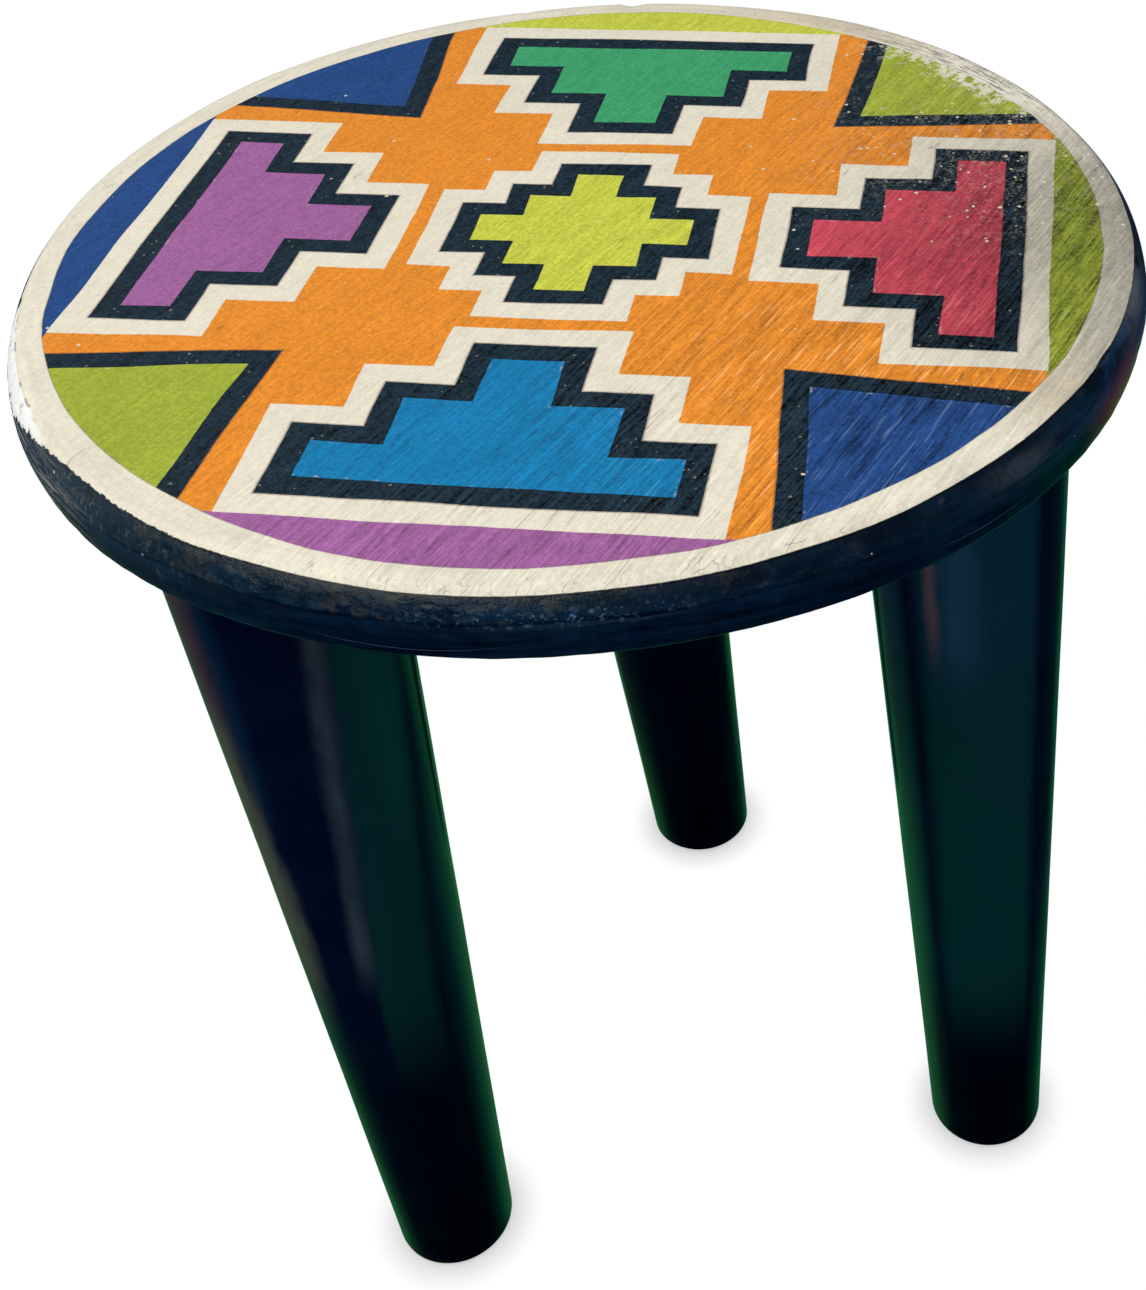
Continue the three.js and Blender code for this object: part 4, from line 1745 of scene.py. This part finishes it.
    def build(self, paint: bpy.types.Material, wood: bpy.types.Material) -> None:
        """Turns the three legs and puts them in place of the plain ones.

        Args:
            paint: The legs' paint.
            wood: The bare wood for the foot and the tenon.
        """
        tree = self.tree()
        for number, name in enumerate(self.names):
            _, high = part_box(name)
            shoulder_height = self.seat_bottom - self.glue_gap
            foot, foot_radius = self.ring(name, self.foot_rounding)
            top, top_radius = self.ring(name, shoulder_height - self.shoulder_rounding)
            _, tenon_radius = self.ring(name, high.z / MM - self.tenon_chamfer)
            lean = (top - foot) / (top.z - foot.z)
            middle = foot - lean * foot.z
            values = {
                "Foot Radius": foot_radius, "Top Radius": top_radius,
                "Shoulder Height": shoulder_height * MM, "Foot Rounding": self.foot_rounding * MM,
                "Shoulder Rounding": self.shoulder_rounding * MM, "Tenon Radius": tenon_radius,
                "Tenon End": high.z, "Tenon Chamfer": self.tenon_chamfer * MM,
                "Foot Middle": (middle.x, middle.y, 0.0), "Lean": (lean.x, lean.y, 0.0),
                "Segments": self.segments, "Rings": self.rings, "Waviness": self.waviness * MM,
                "Seed": self.seed_step * (number + 1), "Paint": paint, "Bare Wood": wood,
            }
            piece = grown(f"turned_{name}", tree, values)
            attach(piece, "root")
            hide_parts(name)
            log.info("%s: %d faces", piece.name, len(piece.data.polygons))


def grown(name: str, tree: bpy.types.NodeTree, values: dict[str, object]) -> bpy.types.Object:
    """Runs a Geometry Nodes tree and keeps its result as a plain mesh.

    Args:
        name: The new piece's name.
        tree: The tree.
        values: The tree's inputs by name.

    Returns:
        The piece, without the modifier.
    """
    carrier = bpy.data.objects.new(f"{name}_carrier", bpy.data.meshes.new(f"{name}_carrier"))
    bpy.context.scene.collection.objects.link(carrier)
    modifier = carrier.modifiers.new("turning", "NODES")
    modifier.node_group = tree
    for item in tree.interface.items_tree:
        if item.in_out == "INPUT" and item.name in values:
            modifier[item.identifier] = values[item.name]
    graph = bpy.context.evaluated_depsgraph_get()
    mesh = bpy.data.meshes.new_from_object(carrier.evaluated_get(graph), depsgraph=graph)
    mesh.name = name
    bpy.data.objects.remove(carrier)
    piece = bpy.data.objects.new(name, mesh)
    bpy.context.scene.collection.objects.link(piece)
    return piece


@dataclass
class Joinery:
    """The hidden dowels and wedges, which keep their own meshes and get bare wood."""

    nodes: dict[str, bpy.types.Object]

    def build(self, wood: bpy.types.Material) -> None:
        """Dresses every dowel and wedge.

        Args:
            wood: The bare wood.
        """
        for name, piece in self.nodes.items():
            if "dowel" in name or "wedge" in name:
                piece.data.materials.clear()
                piece.data.materials.append(wood)
                log.info("%s: bare wood", name)


@dataclass(frozen=True)
class Studio:
    """A plain white studio: the camera, the floor, the world and one soft lamp.

    A band is a direction round the stool, from 0 behind it over the left, the front and the right to 1,
    and its colour. A strip is a direction, its reach and its share. Heights are from -1 to 1.
    """

    floor_size: float = 14.0
    camera_place: Triple = (0.02274, -0.48258, 0.70096)
    camera_turn: Triple = (46.6537, 1.8675, -6.4145)
    camera_clip: Pair = (0.01, 50.0)
    camera_lens: float = 48.107
    camera_shift: float = -0.17597
    floor_level: float = 0.55
    floor_glow: float = 1.02
    shadow_share: float = 0.03
    shadow_reach: Pair = (0.3, 1.0)
    contact_reach: float = 0.015
    contact_open: float = 0.4
    contact_level: float = 0.62
    sky_level: Triple = (0.69, 0.695, 0.71)
    horizon_gloss: Triple = (0.02, 0.06, 0.14)
    overhead_gloss: Triple = (0.05, 0.08, 0.11)
    front_gloss: Triple = (0.35, 0.6, 1.0)
    steep_end: Pair = (-0.81, -0.74)
    horizon_rise: Pair = (-0.58, -0.47)
    overhead_rise: Pair = (-0.1, 0.4)
    strip_heights: Pair = (0.1, 0.5)
    front_patches: tuple[tuple[Pair, Pair], ...] = (
        ((0.5, 0.09), (0.5, 0.2)), ((0.49, 0.06), (0.05, 0.15)),
    )
    strip_level: Triple = (0.75, 0.85, 0.95)
    strips: tuple[Triple, ...] = (
        (0.06, 0.03, 1.0), (0.19, 0.035, 0.8), (0.72, 0.03, 0.8), (0.86, 0.035, 1.0),
    )
    level_bands: tuple[tuple[float, Triple], ...] = (
        (0.00, (0.02, 0.19, 0.06)), (0.07, (0.02, 0.19, 0.06)), (0.13, (0.02, 0.04, 0.03)),
        (0.22, (0.0, 0.008, 0.02)), (0.50, (0.0, 0.002, 0.02)), (0.77, (0.0, 0.004, 0.01)),
        (0.84, (0.0, 0.02, 0.015)), (0.90, (0.01, 0.12, 0.05)), (0.95, (0.02, 0.17, 0.06)),
        (1.00, (0.02, 0.19, 0.06)),
    )
    steep_bands: tuple[tuple[float, Triple], ...] = (
        (0.00, (0.02, 0.16, 0.06)), (0.15, (0.02, 0.14, 0.05)), (0.21, (0.01, 0.06, 0.035)),
        (0.28, (0.0, 0.012, 0.02)), (0.50, (0.0, 0.002, 0.012)), (0.73, (0.0, 0.006, 0.01)),
        (0.80, (0.0, 0.05, 0.03)), (0.87, (0.01, 0.12, 0.06)), (0.93, (0.02, 0.15, 0.06)),
        (1.00, (0.02, 0.16, 0.06)),
    )
    lamp_place: Triple = (-0.9, -0.7, 1.9)
    lamp_aim: Triple = (0.0, 0.0, 0.4)
    lamp_size: float = 1.1
    lamp_power: float = 14.3
    lamp_tint: Triple = (1.0, 0.985, 0.955)

    def camera(self) -> None:
        """Sets the camera where the photograph was taken from."""
        data = bpy.data.cameras.new("camera")
        data.lens = self.camera_lens
        data.shift_x = self.camera_shift
        data.clip_start, data.clip_end = self.camera_clip
        camera = bpy.data.objects.new("camera", data)
        camera.location = self.camera_place
        camera.rotation_euler = Euler([math.radians(value) for value in self.camera_turn], "XYZ")
        bpy.context.scene.collection.objects.link(camera)
        bpy.context.scene.camera = camera

    def floor(self) -> None:
        """Lays a white floor that melts into the background, with a painted shadow round the feet where its
        glow dims.

        The camera sees its glow, and the stool gets a grey floor's light from it.
        """
        half = self.floor_size / 2
        mesh = bpy.data.meshes.new("floor")
        corners = [(-half, -half, 0), (half, -half, 0), (half, half, 0), (-half, half, 0)]
        mesh.from_pydata(corners, [], [(0, 1, 2, 3)])
        floor = bpy.data.objects.new("floor", mesh)
        bpy.context.scene.collection.objects.link(floor)
        floor.visible_glossy = False
        material, s, shader = fresh_material("pale_floor")
        seen = s.node("ShaderNodeLightPath").outputs["Is Camera Ray"]
        reach = s.length(s.node("ShaderNodeTexCoord").outputs["Object"])
        shadow_share = s.ramp(reach, *self.shadow_reach, self.shadow_share, 0.0)
        level = s.mixed(seen, self.floor_level, shadow_share)
        s.feed(shader.inputs["Base Color"], s.joined(level, level, level))
        shader.inputs["Roughness"].default_value = 1.0
        shader.inputs["Specular IOR Level"].default_value = 0.0
        shader.inputs["Emission Color"].default_value = (1, 1, 1, 1)
        # painted shadow: the glow that the camera sees dims where ambient occlusion finds the feet near
        near = {"Distance": self.contact_reach}
        open_share = s.run("ShaderNodeAmbientOcclusion", near, "AO", samples=16)
        contact = s.ramp(open_share, self.contact_open, 1.0, self.contact_level, self.floor_glow,
                         smooth=False)
        glow = s.product(seen, s.minus(contact, shadow_share))
        s.feed(shader.inputs["Emission Strength"], glow)
        mesh.materials.append(material)

    @staticmethod
    def bands(s: Sketch, turn: Socket, stops: tuple[tuple[float, Triple], ...]) -> Socket:
        """Colours the surroundings in upright bands.

        Args:
            s: The world's sketch.
            turn: The direction, from 0 behind the stool over the left, the front and the right to 1.
            stops: Each band's place and colour.

        Returns:
            The colour.
        """
        node = s.node("ShaderNodeValToRGB")
        ramp = node.color_ramp
        ramp.elements.remove(ramp.elements[0])
        for number, (stop, color) in enumerate(stops):
            element = ramp.elements[0] if number == 0 else ramp.elements.new(stop)
            element.position = stop
            element.color = (*color, 1.0)
        s.feed(node.inputs[0], turn)
        return node.outputs[0]

    def world(self) -> None:
        """Makes the world white to the camera, pale to matt surfaces and dim and coloured to gloss."""
        world = bpy.data.worlds.new("studio")
        bpy.context.scene.world = world
        world.use_nodes = True
        tree = world.node_tree
        tree.nodes.clear()
        s = Sketch(tree)
        path = s.node("ShaderNodeLightPath")
        direction = s.node("ShaderNodeTexCoord").outputs["Generated"]
        x, y, z = s.split(direction)
        turn = s.total(s.product(s.maths("ARCTAN2", x, s.product(y, -1.0)), 0.5 / math.pi), 0.5)
        level, steep = (self.bands(s, turn, stops) for stops in (self.level_bands, self.steep_bands))
        gloss = s.mix(s.ramp(z, *self.steep_end), steep, level)
        gloss = s.mix(s.ramp(z, *self.horizon_rise), gloss, (*self.horizon_gloss, 1.0))
        gloss = s.mix(s.ramp(z, *self.overhead_rise), gloss, (*self.overhead_gloss, 1.0))
        strips = s.total(*(s.product(s.hump(turn, place, width), share)
                           for place, width, share in self.strips))
        strips = s.product(strips, s.hump(z, *self.strip_heights))
        gloss = s.mix(strips, gloss, (*self.strip_level, 1.0))
        front = s.larger(*(s.product(s.hump(turn, *across), s.hump(z, *up))
                           for across, up in self.front_patches))
        gloss = s.mix(front, gloss, (*self.front_gloss, 1.0))
        color = s.mix(path.outputs["Is Glossy Ray"], (*self.sky_level, 1.0), gloss)
        color = s.mix(path.outputs["Is Camera Ray"], color, (1.0, 1.0, 1.0, 1.0))
        background = s.node("ShaderNodeBackground")
        s.feed(background.inputs["Color"], color)
        end = s.node("ShaderNodeOutputWorld")
        s.feed(end.inputs["Surface"], background.outputs[0])

    def lamp(self) -> None:
        """Hangs the one square soft lamp."""
        data = bpy.data.lights.new("key", "AREA")
        data.size, data.energy, data.color = self.lamp_size, self.lamp_power, self.lamp_tint
        lamp = bpy.data.objects.new("key", data)
        lamp.location = self.lamp_place
        aim = Vector(self.lamp_aim) - Vector(self.lamp_place)
        lamp.rotation_euler = aim.to_track_quat("-Z", "Y").to_euler()
        bpy.context.scene.collection.objects.link(lamp)

    def build(self) -> None:
        """Builds the studio."""
        self.camera()
        self.floor()
        self.world()
        self.lamp()
        bpy.context.scene.view_settings.view_transform = "Standard"


def main() -> None:
    """Builds the stool's looks round the frame, then the studio."""
    logging.basicConfig(level=logging.INFO, format="%(name)s: %(message)s")
    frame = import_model()
    nodes = frame["nodes"]
    seat = Seat(nodes)
    effects = Effects()
    wood = BareWoodFinish(effects, seat.grain_angle).build()
    seat_paint = SeatFinish(effects, SeatLayout(), seat.grain_angle, seat.bottom, seat.worn_start,
                            seat.cream_end()).build()
    leg_paint = LegFinish(effects).build()
    seat.build(seat_paint, wood)
    Legs(nodes, seat.bottom).build(leg_paint, wood)
    Joinery(nodes).build(wood)
    Studio().build()


if __name__ == "__main__":
    main()
